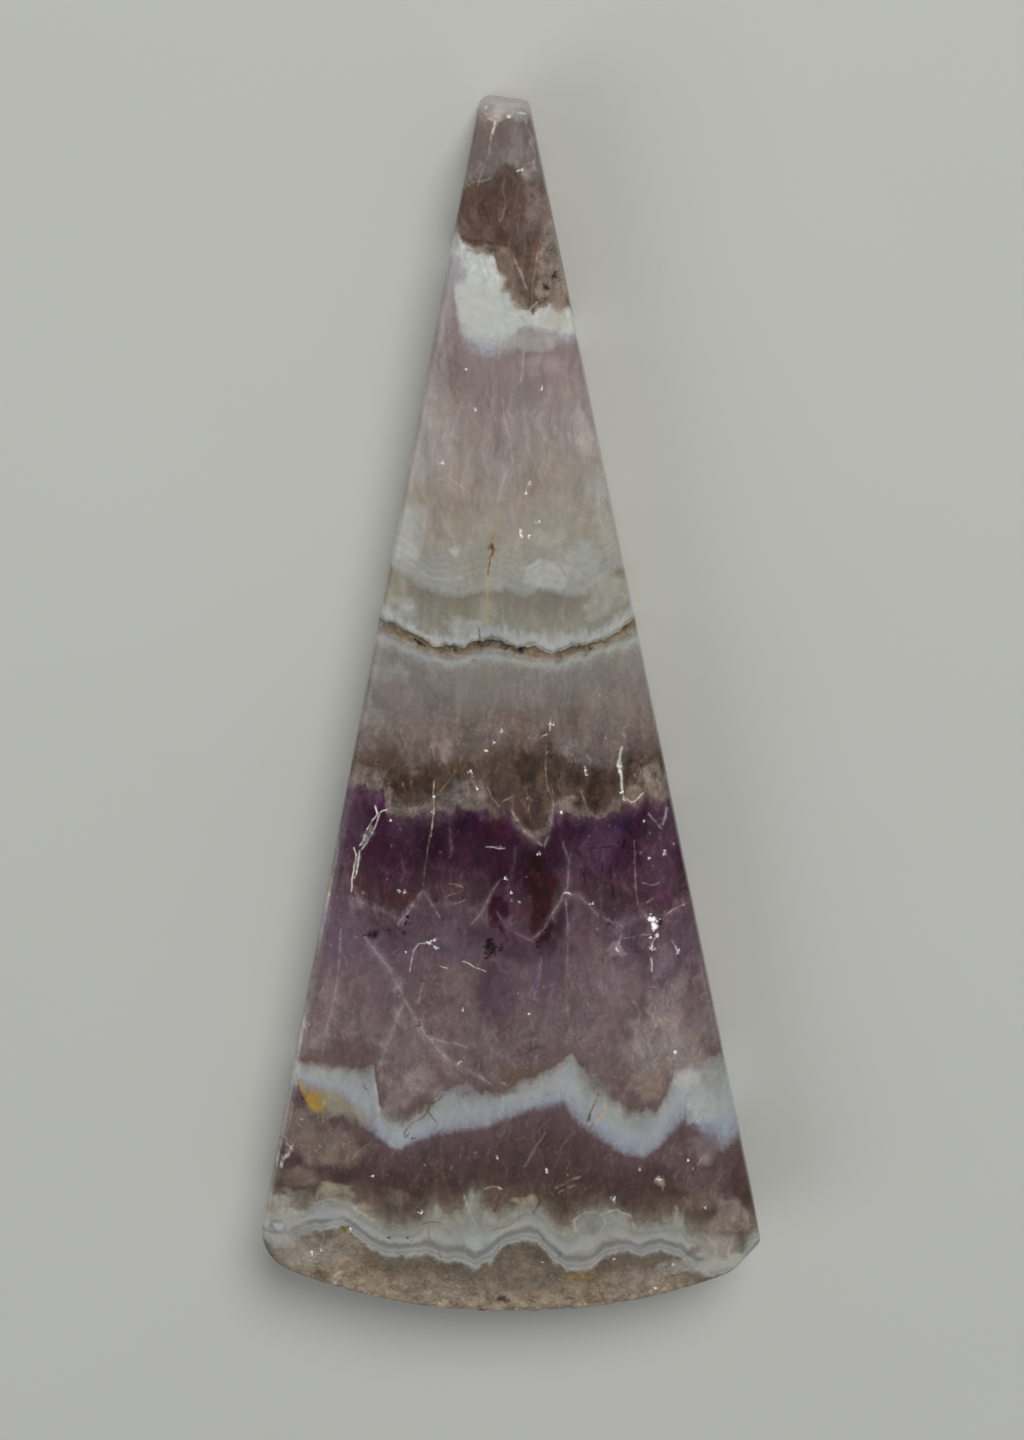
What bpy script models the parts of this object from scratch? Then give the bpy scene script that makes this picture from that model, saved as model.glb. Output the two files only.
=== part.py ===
"""Chevron amethyst cabochon: one long tapering wedge of banded amethyst with a low polished dome.

The stone lies on its flat sawn back. X runs across it, +Y towards its narrow tip, and +Z out of the
polished face. The origin is under its middle, on the surface that it rests on. Units are metres.
"""

import math

import bmesh
import bpy
from mathutils import Vector, noise

MM = 0.001

# Driving dimensions of the plan
LENGTH = 56 * MM
TIP_LEFT = Vector((-1.29, 28.0)) * MM
TIP_RIGHT = Vector((0.70, 27.75)) * MM
SIDE_LEAN_LEFT = 0.203
SIDE_LEAN_RIGHT = 0.2125
BASE_RADIUS = 25.4 * MM

# Corners of the plan: how far each one is rounded, and the corner that is cut off
TIP_LEFT_ROUND = 0.5 * MM
TIP_RIGHT_ROUND = 0.35 * MM
BASE_LEFT_ROUND = 2.2 * MM
CUT_START_Y = -24.1 * MM
CUT_END_X = 10.4 * MM
CUT_START_ROUND = 0.5 * MM
CUT_END_ROUND = 1.6 * MM

# Driving dimensions of the section
GIRDLE = 4.4 * MM
CROWN = 0.6 * MM
FACE_BEVEL = 0.24 * MM
FACE_BEVEL_SKEW = 0.08 * MM
BACK_BEVEL = 0.3 * MM
BASE_RUN = 9 * MM
TIP_RUN = 3 * MM

# The sloping facet ground on the end of the tip
FACET_POINT = Vector((-0.6, 27.45, 4.42)) * MM
FACET_NORMAL = Vector((-0.12, 0.62, 0.775))

# The crumbly rim along the base arc
RIM_ROUGHNESS = 0.09 * MM
RIM_LUMPS_PER_METRE = 900
RIM_ROUGH_FROM = -9.5 * MM
RIM_ROUGH_TO = 5.5 * MM

# The open seam across the upper half: its middle line on the face, and the section of its groove
SEAM_ROUTE = (
    (-5.9, 6.85), (-5.2, 6.45), (-4.4, 6.0), (-3.5, 5.62), (-2.7, 5.42), (-1.8, 5.58), (-0.9, 5.75),
    (0.0, 5.52), (0.8, 5.32), (1.7, 5.15), (2.7, 5.32), (3.9, 5.78), (4.6, 6.25), (5.5, 6.95),
)
SEAM_HALF_WIDTH = 0.2 * MM
SEAM_DEPTH = 0.12 * MM

# Pits in the face: place across and along the stone in millimetres, then radius
SEAM_PITS = ((0.43, 5.33, 0.16), (-2.52, 5.35, 0.1), (3.96, 5.78, 0.09), (-4.3, 5.95, 0.11))
RIM_PITS = ((-0.5, -27.3, 0.3), (0.85, -27.35, 0.24), (-3.1, -27.2, 0.2), (2.75, -27.2, 0.2))

# The chip on the left edge: place, half sizes and turn
CHIP_PLACE = Vector((-10.95, -19.15, 4.45)) * MM
CHIP_HALF_SIZE = Vector((0.42, 1.0, 0.34)) * MM
CHIP_TURN = math.radians(-14)

OUTLINE_STEP = 0.75 * MM
CROWN_RINGS = (0.07, 0.18, 0.34, 0.54, 0.77)
RIDGE_STEPS = 48
ROUND_SEGMENTS = 6

STONE_COLOUR = (0.20, 0.13, 0.17, 1.0)
STONE_ROUGHNESS = 0.18


def clear_scene():
    for thing in list(bpy.data.objects):
        bpy.data.objects.remove(thing, do_unlink=True)


def collection(name):
    made = bpy.data.collections.new(name)
    bpy.context.scene.collection.children.link(made)
    return made


# The plan


def left_side(y):
    return TIP_LEFT.x - SIDE_LEAN_LEFT * (TIP_LEFT.y - y)


def right_side(y):
    return TIP_RIGHT.x + SIDE_LEAN_RIGHT * (TIP_RIGHT.y - y)


def base_arc(x):
    """Height along Y of the base arc at x. Its lowest point is at half the length below the origin."""
    return BASE_RADIUS - LENGTH / 2 - math.sqrt(BASE_RADIUS**2 - x**2)


def base_corner(side):
    """Where a side, run on in a straight line, meets the base arc."""
    y = -LENGTH / 2
    for _ in range(20):
        y = base_arc(side(y))
    return Vector((side(y), y))


def rounded(before, corner, after, radius):
    """Points of the arc that rounds a corner of the plan."""
    towards_before = (before - corner).normalized()
    towards_after = (after - corner).normalized()
    half_angle = towards_before.angle(towards_after) / 2
    centre = corner + (towards_before + towards_after).normalized() * radius / math.sin(half_angle)
    reach = radius / math.tan(half_angle)
    start = corner + towards_before * reach - centre
    end = corner + towards_after * reach - centre
    shares = [step / ROUND_SEGMENTS for step in range(ROUND_SEGMENTS + 1)]
    return [centre + start.slerp(end, share) * radius for share in shares]


def arc_points(start_x, end_x):
    count = max(2, round(abs(end_x - start_x) / OUTLINE_STEP))
    places = [start_x + (end_x - start_x) * step / count for step in range(count + 1)]
    return [Vector((x, base_arc(x))) for x in places]


def crumbled(point):
    """A point of the base arc moved in a little, where the rim is rough."""
    fade = min(point.x - RIM_ROUGH_FROM, RIM_ROUGH_TO - point.x) / (2 * MM)
    fade = max(0.0, min(1.0, fade))
    lump = noise.noise(Vector((point.x * RIM_LUMPS_PER_METRE, 0, 0)))
    return point + Vector((0, RIM_ROUGHNESS * fade * abs(lump)))


def outline():
    """The plan's points, anticlockwise from the tip's left corner, at about the same spacing."""
    left_base = base_corner(left_side)
    cut_start = Vector((right_side(CUT_START_Y), CUT_START_Y))
    cut_end = Vector((CUT_END_X, base_arc(CUT_END_X)))
    arc = arc_points(left_base.x + BASE_LEFT_ROUND, CUT_END_X - CUT_END_ROUND / 2)

    corners = rounded(TIP_RIGHT, TIP_LEFT, left_base, TIP_LEFT_ROUND)
    corners += rounded(TIP_LEFT, left_base, arc[0], BASE_LEFT_ROUND)
    corners += [crumbled(point) for point in arc]
    corners += rounded(arc[-1], cut_end, cut_start, CUT_END_ROUND)
    corners += rounded(cut_end, cut_start, TIP_RIGHT, CUT_START_ROUND)
    corners += rounded(cut_start, TIP_RIGHT, TIP_LEFT, TIP_RIGHT_ROUND)

    points = []
    for start, end in zip(corners, corners[1:] + corners[:1]):
        count = max(1, round((end - start).length / OUTLINE_STEP))
        points += [start.lerp(end, step / count) for step in range(count)]
    return points


def outward_normals(points):
    normals = []
    for index in range(len(points)):
        along = points[(index + 1) % len(points)] - points[index - 1]
        normals.append(Vector((along.y, -along.x)).normalized())
    return normals


# The section


def face_height(x, y):
    """Height of the polished face: a low dome, as steep at the narrow tip as at the wide base."""
    half_width = (right_side(y) - left_side(y)) / 2
    across = (x - (right_side(y) + left_side(y)) / 2) / half_width
    from_base = min(1.0, max(0.0, (y - base_arc(x)) / BASE_RUN))
    from_tip = min(1.0, max(0.0, (TIP_LEFT.y - y) / TIP_RUN))
    rise = CROWN * half_width / right_side(-LENGTH / 2)
    slopes = (across**2, (1 - from_base) ** 2, (1 - from_tip) ** 2)
    return GIRDLE + rise * math.prod(1 - min(1.0, slope) for slope in slopes)


def ridge_point(point):
    """The point of the dome's middle line that a point of the outline is drawn towards.

    Both sides are drawn to the same RIDGE_STEPS places, so that they meet there.
    """
    low = BASE_RUN - LENGTH / 2
    high = TIP_LEFT.y - TIP_RUN / 2
    corner = base_corner(left_side).y
    share = min(1.0, max(0.0, (point.y - corner) / (TIP_RIGHT.y - TIP_RIGHT_ROUND - corner)))
    y = low + (high - low) * round(share * RIDGE_STEPS) / RIDGE_STEPS
    return Vector(((left_side(y) + right_side(y)) / 2, y))


def add_ring(mesh, points, height_at):
    return [mesh.verts.new((point.x, point.y, height_at(point))) for point in points]


def join_rings(mesh, lower, upper):
    count = len(lower)
    for index in range(count):
        after = (index + 1) % count
        mesh.faces.new((lower[index], lower[after], upper[after], upper[index]))


def loft_stone(mesh):
    """The back, the wall, the bevel of the face, and rings drawn in towards the dome's middle line."""
    edge = outline()
    normals = outward_normals(edge)
    bevels = [FACE_BEVEL - FACE_BEVEL_SKEW * normal.x for normal in normals]
    back = [point - normal * BACK_BEVEL for point, normal in zip(edge, normals)]
    half_bevel = [point - normal * bevel * 0.3 for point, normal, bevel in zip(edge, normals, bevels)]
    face = [point - normal * bevel for point, normal, bevel in zip(edge, normals, bevels)]

    rings = [
        add_ring(mesh, back, lambda point: 0),
        add_ring(mesh, edge, lambda point: BACK_BEVEL),
        add_ring(mesh, edge, lambda point: GIRDLE - FACE_BEVEL),
        add_ring(mesh, half_bevel, lambda point: GIRDLE - FACE_BEVEL * 0.3),
        add_ring(mesh, face, lambda point: face_height(point.x, point.y)),
    ]
    for share in CROWN_RINGS + (1.0,):
        ring = [point.lerp(ridge_point(point), share) for point in face]
        rings.append(add_ring(mesh, ring, lambda point: face_height(point.x, point.y)))
    for lower, upper in zip(rings, rings[1:]):
        join_rings(mesh, lower, upper)
    mesh.faces.new(rings[0][::-1])
    bmesh.ops.remove_doubles(mesh, verts=rings[-1], dist=0.02 * MM)


def grind_tip_facet(mesh):
    everything = mesh.verts[:] + mesh.edges[:] + mesh.faces[:]
    bmesh.ops.bisect_plane(
        mesh, geom=everything, plane_co=FACET_POINT, plane_no=FACET_NORMAL, clear_outer=True, dist=0.001 * MM
    )
    open_edges = [edge for edge in mesh.edges if edge.is_boundary]
    bmesh.ops.holes_fill(mesh, edges=open_edges)


# Cutters for what is broken or open in the stone


def new_object(name, mesh, group):
    data = bpy.data.meshes.new(name)
    mesh.to_mesh(data)
    mesh.free()
    made = bpy.data.objects.new(name, data)
    group.objects.link(made)
    return made


def make_cutter(name, mesh, group):
    cutter = new_object(name, mesh, group)
    cutter.display_type = "WIRE"
    cutter.hide_render = True
    return cutter


def seam_cutter(group):
    """A shallow trough that follows the seam over the dome."""
    mesh = bmesh.new()
    above = CROWN
    section = ((-1, above), (-0.6, -SEAM_DEPTH), (0.6, -SEAM_DEPTH), (1, above))
    rows = []
    for x, y in SEAM_ROUTE:
        place = Vector((x, y)) * MM
        height = face_height(place.x, place.y)
        rows.append([
            mesh.verts.new((place.x, place.y + SEAM_HALF_WIDTH * across, height + rise))
            for across, rise in section
        ])
    for row, following in zip(rows, rows[1:]):
        join_rings(mesh, row, following)
    mesh.faces.new(rows[0])
    mesh.faces.new(rows[-1][::-1])
    bmesh.ops.recalc_face_normals(mesh, faces=mesh.faces)
    return make_cutter("seam_cutter", mesh, group)


def pits_cutter(group):
    mesh = bmesh.new()
    for x, y, radius in SEAM_PITS + RIM_PITS:
        ball = bmesh.ops.create_icosphere(mesh, subdivisions=2, radius=radius * MM)
        place = Vector((x * MM, y * MM, face_height(x * MM, y * MM)))
        bmesh.ops.translate(mesh, vec=place, verts=ball["verts"])
    return make_cutter("pits_cutter", mesh, group)


def chip_cutter(group):
    """A shell-shaped flake: a squashed ball with few faces, like a conchoidal break."""
    mesh = bmesh.new()
    bmesh.ops.create_icosphere(mesh, subdivisions=2, radius=1)
    bmesh.ops.scale(mesh, vec=CHIP_HALF_SIZE, verts=mesh.verts)
    cutter = make_cutter("chip_cutter", mesh, group)
    cutter.location = CHIP_PLACE
    cutter.rotation_euler.z = CHIP_TURN
    return cutter


def cut(stone, cutter):
    boolean = stone.modifiers.new(cutter.name, "BOOLEAN")
    boolean.operation = "DIFFERENCE"
    boolean.object = cutter


def stone_material():
    material = bpy.data.materials.new("amethyst")
    material.use_nodes = True
    shader = material.node_tree.nodes["Principled BSDF"]
    shader.inputs["Base Color"].default_value = STONE_COLOUR
    shader.inputs["Roughness"].default_value = STONE_ROUGHNESS
    return material


def make_cabochon(group, cutters):
    mesh = bmesh.new()
    loft_stone(mesh)
    grind_tip_facet(mesh)
    bmesh.ops.recalc_face_normals(mesh, faces=mesh.faces)
    stone = new_object("cabochon", mesh, group)
    stone.data.materials.append(stone_material())
    stone.data.shade_smooth()
    stone.data.set_sharp_from_angle(angle=math.radians(25))
    for make in (seam_cutter, pits_cutter, chip_cutter):
        cut(stone, make(cutters))
    return stone


def main():
    clear_scene()
    make_cabochon(collection("chevron_amethyst_cabochon"), collection("cutters"))


main()
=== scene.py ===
"""Looks of the chevron amethyst cabochon: a polished wedge of banded stone lying on a pale floor.

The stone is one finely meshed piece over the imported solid. Its bands are traced as the lines that grew
one after another from the tip to the base. A place's growth tells how many of them lie between it and
the tip, and the material turns growth into colour. Millimetres are used here, and metres in Blender.
"""

import math
from collections import namedtuple

import bpy
import numpy as np
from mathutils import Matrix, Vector, geometry, noise

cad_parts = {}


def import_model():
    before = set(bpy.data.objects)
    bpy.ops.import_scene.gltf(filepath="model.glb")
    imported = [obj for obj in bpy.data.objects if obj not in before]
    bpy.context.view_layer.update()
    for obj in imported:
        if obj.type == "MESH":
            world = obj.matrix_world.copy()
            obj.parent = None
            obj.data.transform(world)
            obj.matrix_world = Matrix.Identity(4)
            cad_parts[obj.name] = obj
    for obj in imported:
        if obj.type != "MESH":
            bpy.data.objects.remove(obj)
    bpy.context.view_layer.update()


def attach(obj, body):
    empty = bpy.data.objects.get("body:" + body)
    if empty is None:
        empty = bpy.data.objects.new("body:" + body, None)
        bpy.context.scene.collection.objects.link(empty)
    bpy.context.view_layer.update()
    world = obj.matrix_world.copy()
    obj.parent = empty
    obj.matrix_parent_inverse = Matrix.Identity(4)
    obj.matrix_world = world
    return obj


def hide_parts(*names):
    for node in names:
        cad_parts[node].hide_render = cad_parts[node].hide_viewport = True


MM = 0.001

# View of the photograph, in pixels of its 1024 x 1440 frame and in millimetres
FRAME_WIDE = 1024
FRAME_HIGH = 1440
FOCAL = 2400
CAMERA_TILT = math.radians(20)
CAMERA_DISTANCE = 103.4
PIXEL = CAMERA_DISTANCE / FOCAL
CAMERA_AIM = np.array((0.0, 2.2, 4.8))
CAMERA_BACK = np.array((0.0, math.sin(CAMERA_TILT), math.cos(CAMERA_TILT)))
CAMERA_UP = np.array((0.0, math.cos(CAMERA_TILT), -math.sin(CAMERA_TILT)))
CAMERA_PLACE = CAMERA_AIM + CAMERA_DISTANCE * CAMERA_BACK
SIGHT_ROUNDS = 4

# Plan and section of the solid
LENGTH = 56
TIP_LEFT = Vector((-1.29, 28.0))
TIP_RIGHT = Vector((0.70, 27.75))
SIDE_LEAN_LEFT = 0.203
SIDE_LEAN_RIGHT = 0.2125
BASE_RADIUS = 25.4
TIP_LEFT_ROUND = 0.5
TIP_RIGHT_ROUND = 0.35
BASE_LEFT_ROUND = 2.2
CUT_START_Y = -24.1
CUT_END_X = 10.4
CUT_START_ROUND = 0.5
CUT_END_ROUND = 1.6
ROUND_SEGMENTS = 16
CORNER_ROUNDS = 20
GIRDLE = 4.4
CROWN = 0.6
FACE_BEVEL = 0.24
FACE_BEVEL_SKEW = 0.08
BACK_BEVEL = 0.3
BASE_RUN = 9
TIP_RUN = 3
FACET_POINT = Vector((-0.6, 27.45, 4.42))
FACET_NORMAL = Vector((-0.12, 0.62, 0.775))

# What is broken or open
RIM_ROUGHNESS = 0.09
RIM_LUMPS_PER_MM = 0.9
RIM_ROUGH_FROM = -9.5
RIM_ROUGH_TO = 5.5
RIM_END_FADE = 2
RIM_WIDTH = (0.1, 0.9)
RIM_WANDER = 0.35
RIM_WANDERS_PER_MM = 1.3
RIM_HOLLOW_DEPTH = 0.13
RIM_HOLLOWS_PER_MM = 2.6
RIM_HOLLOW_SHIFT = 0.1
SEAM_DEPTH = 0.09
SEAM_LIP = 0.07
PITS = (
    (0.43, 5.33, 0.14), (-2.52, 5.35, 0.07), (3.96, 5.78, 0.06), (-4.3, 5.95, 0.08),
    (-0.5, -27.3, 0.22), (0.85, -27.35, 0.18), (-3.1, -27.2, 0.16), (2.75, -27.2, 0.16),
    (6.31, -7.31, 0.12),
)
CHIP_PLACE = Vector((-10.95, -19.15, 4.45))
CHIP_HALF_SIZE = Vector((0.42, 1.0, 0.34))
CHIP_TURN = math.radians(-14)
CHIP_ROUGHNESS = 0.05
CHIP_LUMPS_PER_MM = 4
PIT_CROOKEDNESS = 0.25
PIT_LUMPS_PER_MM = 9
FAR_ABOVE = 100

# Heights from which the breaks and the marks begin to show, and where they show in full
BREAKS_FADE_IN = (GIRDLE - 0.6, GIRDLE - 0.2)
MARKS_FADE_IN = (2.5, GIRDLE - 0.5)

# A painted highlight along the left bevel of the face
EDGE_HIGHLIGHT_INSET = 0.07
EDGE_HIGHLIGHT_HALF_WIDTH = 0.09
EDGE_HIGHLIGHT_FROM_Y = (0, 8)
EDGE_HIGHLIGHT_TONE = (168, 170, 164)
EDGE_HIGHLIGHT_STRENGTH = 0.6
EDGE_HIGHLIGHT_EDGE = 1.4
EDGE_HIGHLIGHT_LUMPS = (1.5, 0.6)

# Fineness of the mesh
FACE_STEP = 0.112
FLAKE_STEP = 0.045
BACK_STEP = 0.5
BEVEL_RINGS = 5
WALL_RINGS = 5
MARK_GAP = 0.35 * FACE_STEP
EDGE_GAP = 0.4 * FACE_STEP
MERGE_DISTANCE = 1e-6

# Light: a tone of the photograph is what the stone's own colour sends back under the lamps
LIGHT_LEVEL = 0.63
SHEEN_LEVEL = 0.006
DARKEST = 0.003

# The studio, in metres
Lamp = namedtuple("Lamp", "name place size power tint")
LAMPS = (
    Lamp("key", (0.12, 0.42, 0.42), 0.30, 2.0, (1.0, 0.99, 0.97)),
    Lamp("fill", (-0.5, -0.2, 0.45), 0.5, 0.7, (0.96, 0.98, 1.0)),
)
SKY_COLOUR = (0.95, 0.97, 1.0, 1)
SKY_LIGHT = 0.2
FLOOR_HALF_WIDTH = 2.0
FLOOR_TONES = ((180, 181, 175), (184, 185, 180))

# Texture: how many lumps there are in a millimetre across, along and through the stone, and by what
# share they make it lighter or darker. Angles are in degrees, and rings are counted for each band
PER_MM = (1 / MM, 1 / MM, 1 / MM)
WANDER_LUMPS = 0.9
WANDER_REACH = 0.7
GROWTH_WANDER = 0.05
CLOUD_LUMPS = (1.0, 0.45, 1.0)
CLOUD_LIGHT = 0.26
FIBRE_LUMPS = (3.2, 0.35, 3.2)
FIBRE_LIGHT = 0.28
CRYSTAL_LUMPS = (0.75, 0.4, 0.75)
CRYSTAL_LIGHT = 0.22
CRYSTAL_EDGE_LIGHT = 0.5
THREAD_LUMPS = (1.5, 0.6, 1.5)
THREAD_LIGHT = 0.5
FLAW_LUMPS = (3.0, 1.5, 3.0)
FLAW_LIGHT = 0.32
FLAW_FLASH = 0.8
NEEDLE_ANGLES = (-26, 4, 31)
NEEDLE_LUMPS = (8, 1.1, 8)
NEEDLE_LIGHT = 0.6
CRUMB_LUMPS = 3.6
CRUMB_LIGHT = (-0.2, 0.24)
CRUMB_GAP_LIGHT = (-0.4, 0.06)
HEAP_LUMPS = 1.4
HEAP_LIGHT = 0.42
RINGS = 6
RING_LIGHT = 0.045
# Sparkle: small bright flecks painted as highlights of flaws
SPARKLE_LUMPS = (2.6, 1.8, 2.6)
SPARKLE_COLOUR = (0.42, 0.38, 0.40, 1)
WARM_TINT = (1.03, 1.0, 0.965, 1)
COOL_TINT = (0.985, 0.997, 1.025, 1)
POLISH = (0.12, 0.22)
DULL_GRAIN = 0.4
BUMP_HEIGHT = 0.07
BUMP_STRENGTH = 0.6
GLOSS = 0.4

# Lines between the bands, in pixels of the photograph
BROWN_TOP = (
    (440, 190), (462, 187), (478, 182), (490, 176), (500, 170), (515, 168), (525, 176), (540, 185),
    (560, 188),
)
WHITE_TOP = (
    (440, 228), (457, 233), (464, 242), (478, 250), (495, 254), (497, 267), (503, 286), (514, 301),
    (527, 311), (533, 317), (539, 309), (549, 305), (554, 303), (559, 309), (570, 307),
)
MAUVE_TOP = (
    (430, 255), (446, 258), (452, 272), (455, 298), (458, 318), (463, 330), (471, 341), (482, 349),
    (494, 350), (504, 345), (512, 337), (519, 330), (526, 327), (539, 329), (552, 333), (564, 336),
    (580, 334),
)
PEACH_TOP = ((400, 450), (450, 470), (500, 465), (560, 440), (620, 430))
SCALLOP_TOP = (
    (385, 520), (400, 515), (430, 545), (470, 552), (495, 545), (540, 543), (580, 535), (620, 525),
)
SCALLOP_LOW = (
    (380, 555), (397, 571), (416, 584), (434, 591), (449, 596), (467, 597), (480, 593), (487, 590),
    (503, 590), (521, 596), (538, 591), (552, 591), (567, 596), (583, 596), (597, 589), (608, 578),
    (620, 567),
)
FRINGE_TOP = (
    (376, 594), (389, 603), (405, 616), (422, 627), (449, 631), (475, 629), (488, 620), (496, 621),
    (516, 628), (539, 630), (561, 632), (583, 630), (605, 622), (623, 607), (632, 597),
)
SEAM_TOP = (
    (376, 616), (380, 617), (396, 624), (408, 633), (418, 637), (427, 643), (439, 647), (446, 645),
    (456, 646), (465, 647), (473, 643), (480, 641), (492, 640), (502, 642), (513, 646), (525, 647),
    (535, 647), (544, 650), (552, 653), (561, 650), (573, 647), (585, 643), (596, 641), (606, 637),
    (614, 633), (625, 627), (634, 619),
)
SEAM_LOW = (
    (376, 628), (394, 635), (406, 642), (420, 649), (435, 654), (447, 655), (460, 655), (472, 653),
    (482, 649), (494, 648), (506, 651), (518, 655), (534, 658), (551, 659), (565, 658), (580, 654),
    (594, 649), (606, 644), (618, 637), (634, 629),
)
LINE_LOW = (
    (374, 638), (396, 645), (410, 654), (427, 661), (446, 664), (463, 665), (477, 661), (490, 659),
    (506, 662), (520, 666), (535, 668), (552, 668), (568, 666), (582, 661), (597, 655), (611, 650),
    (625, 646), (640, 645),
)
SMOKE_TOP = (
    (340, 744), (361, 745), (389, 750), (412, 762), (436, 748), (472, 750), (495, 741), (519, 737),
    (542, 742), (566, 752), (590, 765), (613, 756), (637, 750), (670, 748),
)
RIM_TOP = (
    (340, 768), (362, 776), (384, 780), (388, 801), (410, 806), (430, 804), (444, 794), (456, 783),
    (470, 782), (482, 786), (494, 802), (503, 806), (511, 796), (516, 812), (526, 826), (536, 833),
    (545, 826), (551, 806), (566, 802), (580, 808), (597, 812), (608, 800), (620, 800), (634, 786),
    (650, 778), (672, 770),
)
PURPLE_TOP = (
    (340, 785), (362, 786), (384, 789), (387, 812), (401, 816), (420, 815), (434, 817), (448, 813),
    (457, 808), (472, 806), (483, 808), (495, 815), (502, 812), (509, 801), (512, 812), (516, 824),
    (526, 834), (537, 841), (545, 836), (549, 824), (554, 812), (566, 813), (580, 819), (597, 819),
    (608, 815), (618, 812), (632, 805), (646, 796), (656, 801), (676, 806),
)
LILAC_TOP = (
    (325, 880), (345, 880), (354, 889), (369, 916), (386, 922), (402, 919), (415, 904), (424, 895),
    (433, 904), (451, 904), (464, 907), (479, 913), (488, 913), (494, 922), (506, 931), (519, 928),
    (527, 936), (534, 939), (546, 934), (552, 919), (562, 901), (571, 895), (583, 898), (595, 910),
    (611, 925), (626, 922), (641, 916), (651, 921), (660, 922), (669, 915), (678, 907), (700, 898),
)
DUSK_TOP = ((290, 1022), (350, 1015), (420, 1040), (500, 1035), (560, 1030), (640, 1060), (740, 1020))
CHEVRON_TOP = (
    (285, 1060), (294, 1061), (310, 1063), (335, 1070), (363, 1070), (375, 1066), (377, 1092),
    (380, 1110), (391, 1120), (401, 1123), (415, 1117), (433, 1104), (443, 1091), (464, 1093),
    (486, 1093), (500, 1095), (517, 1084), (538, 1073), (556, 1066), (571, 1055), (584, 1069),
    (594, 1086), (612, 1100), (626, 1111), (643, 1115), (657, 1110), (668, 1093), (678, 1068),
    (689, 1056), (703, 1061), (720, 1054), (740, 1050),
)
CHEVRON_LOW = (
    (280, 1084), (293, 1087), (310, 1090), (331, 1096), (349, 1107), (359, 1119), (373, 1134),
    (391, 1147), (401, 1149), (415, 1142), (440, 1133), (468, 1132), (486, 1127), (500, 1121),
    (531, 1110), (564, 1103), (573, 1117), (591, 1133), (612, 1147), (629, 1156), (643, 1159),
    (654, 1152), (675, 1131), (685, 1121), (696, 1128), (713, 1147), (724, 1150), (731, 1142),
    (745, 1135),
)
SHADE_TOP = (
    (260, 1170), (330, 1165), (400, 1180), (470, 1172), (540, 1176), (620, 1180), (700, 1185),
    (760, 1190),
)
LACE_TOP = (
    (255, 1212), (268, 1210), (282, 1212), (303, 1213), (314, 1203), (331, 1198), (349, 1200),
    (359, 1212), (373, 1219), (391, 1229), (412, 1229), (429, 1215), (436, 1208), (450, 1219),
    (464, 1208), (471, 1191), (482, 1208), (496, 1219), (507, 1212), (528, 1205), (542, 1208),
    (556, 1226), (570, 1229), (584, 1215), (594, 1212), (619, 1212), (633, 1226), (657, 1226),
    (682, 1219), (686, 1231), (710, 1240), (720, 1257), (742, 1254), (752, 1236), (762, 1225),
)
LACE_MIDDLE = (
    (255, 1224), (265, 1228), (282, 1234), (296, 1225), (317, 1220), (342, 1216), (359, 1228),
    (373, 1238), (391, 1245), (412, 1245), (426, 1241), (443, 1247), (464, 1249), (475, 1254),
    (492, 1246), (503, 1235), (528, 1227), (538, 1230), (552, 1247), (566, 1257), (591, 1257),
    (605, 1244), (626, 1240), (640, 1245), (661, 1239), (682, 1247), (699, 1259), (713, 1266),
    (735, 1261), (756, 1243), (765, 1236),
)
LACE_LOW = (
    (255, 1236), (265, 1240), (282, 1247), (296, 1236), (317, 1231), (342, 1228), (359, 1240),
    (373, 1250), (391, 1257), (412, 1257), (426, 1254), (443, 1261), (464, 1264), (475, 1270),
    (492, 1261), (503, 1247), (528, 1240), (538, 1243), (552, 1261), (566, 1270), (591, 1270),
    (605, 1257), (626, 1252), (640, 1257), (661, 1250), (682, 1259), (699, 1271), (713, 1277),
    (735, 1270), (756, 1250), (765, 1246),
)

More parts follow.
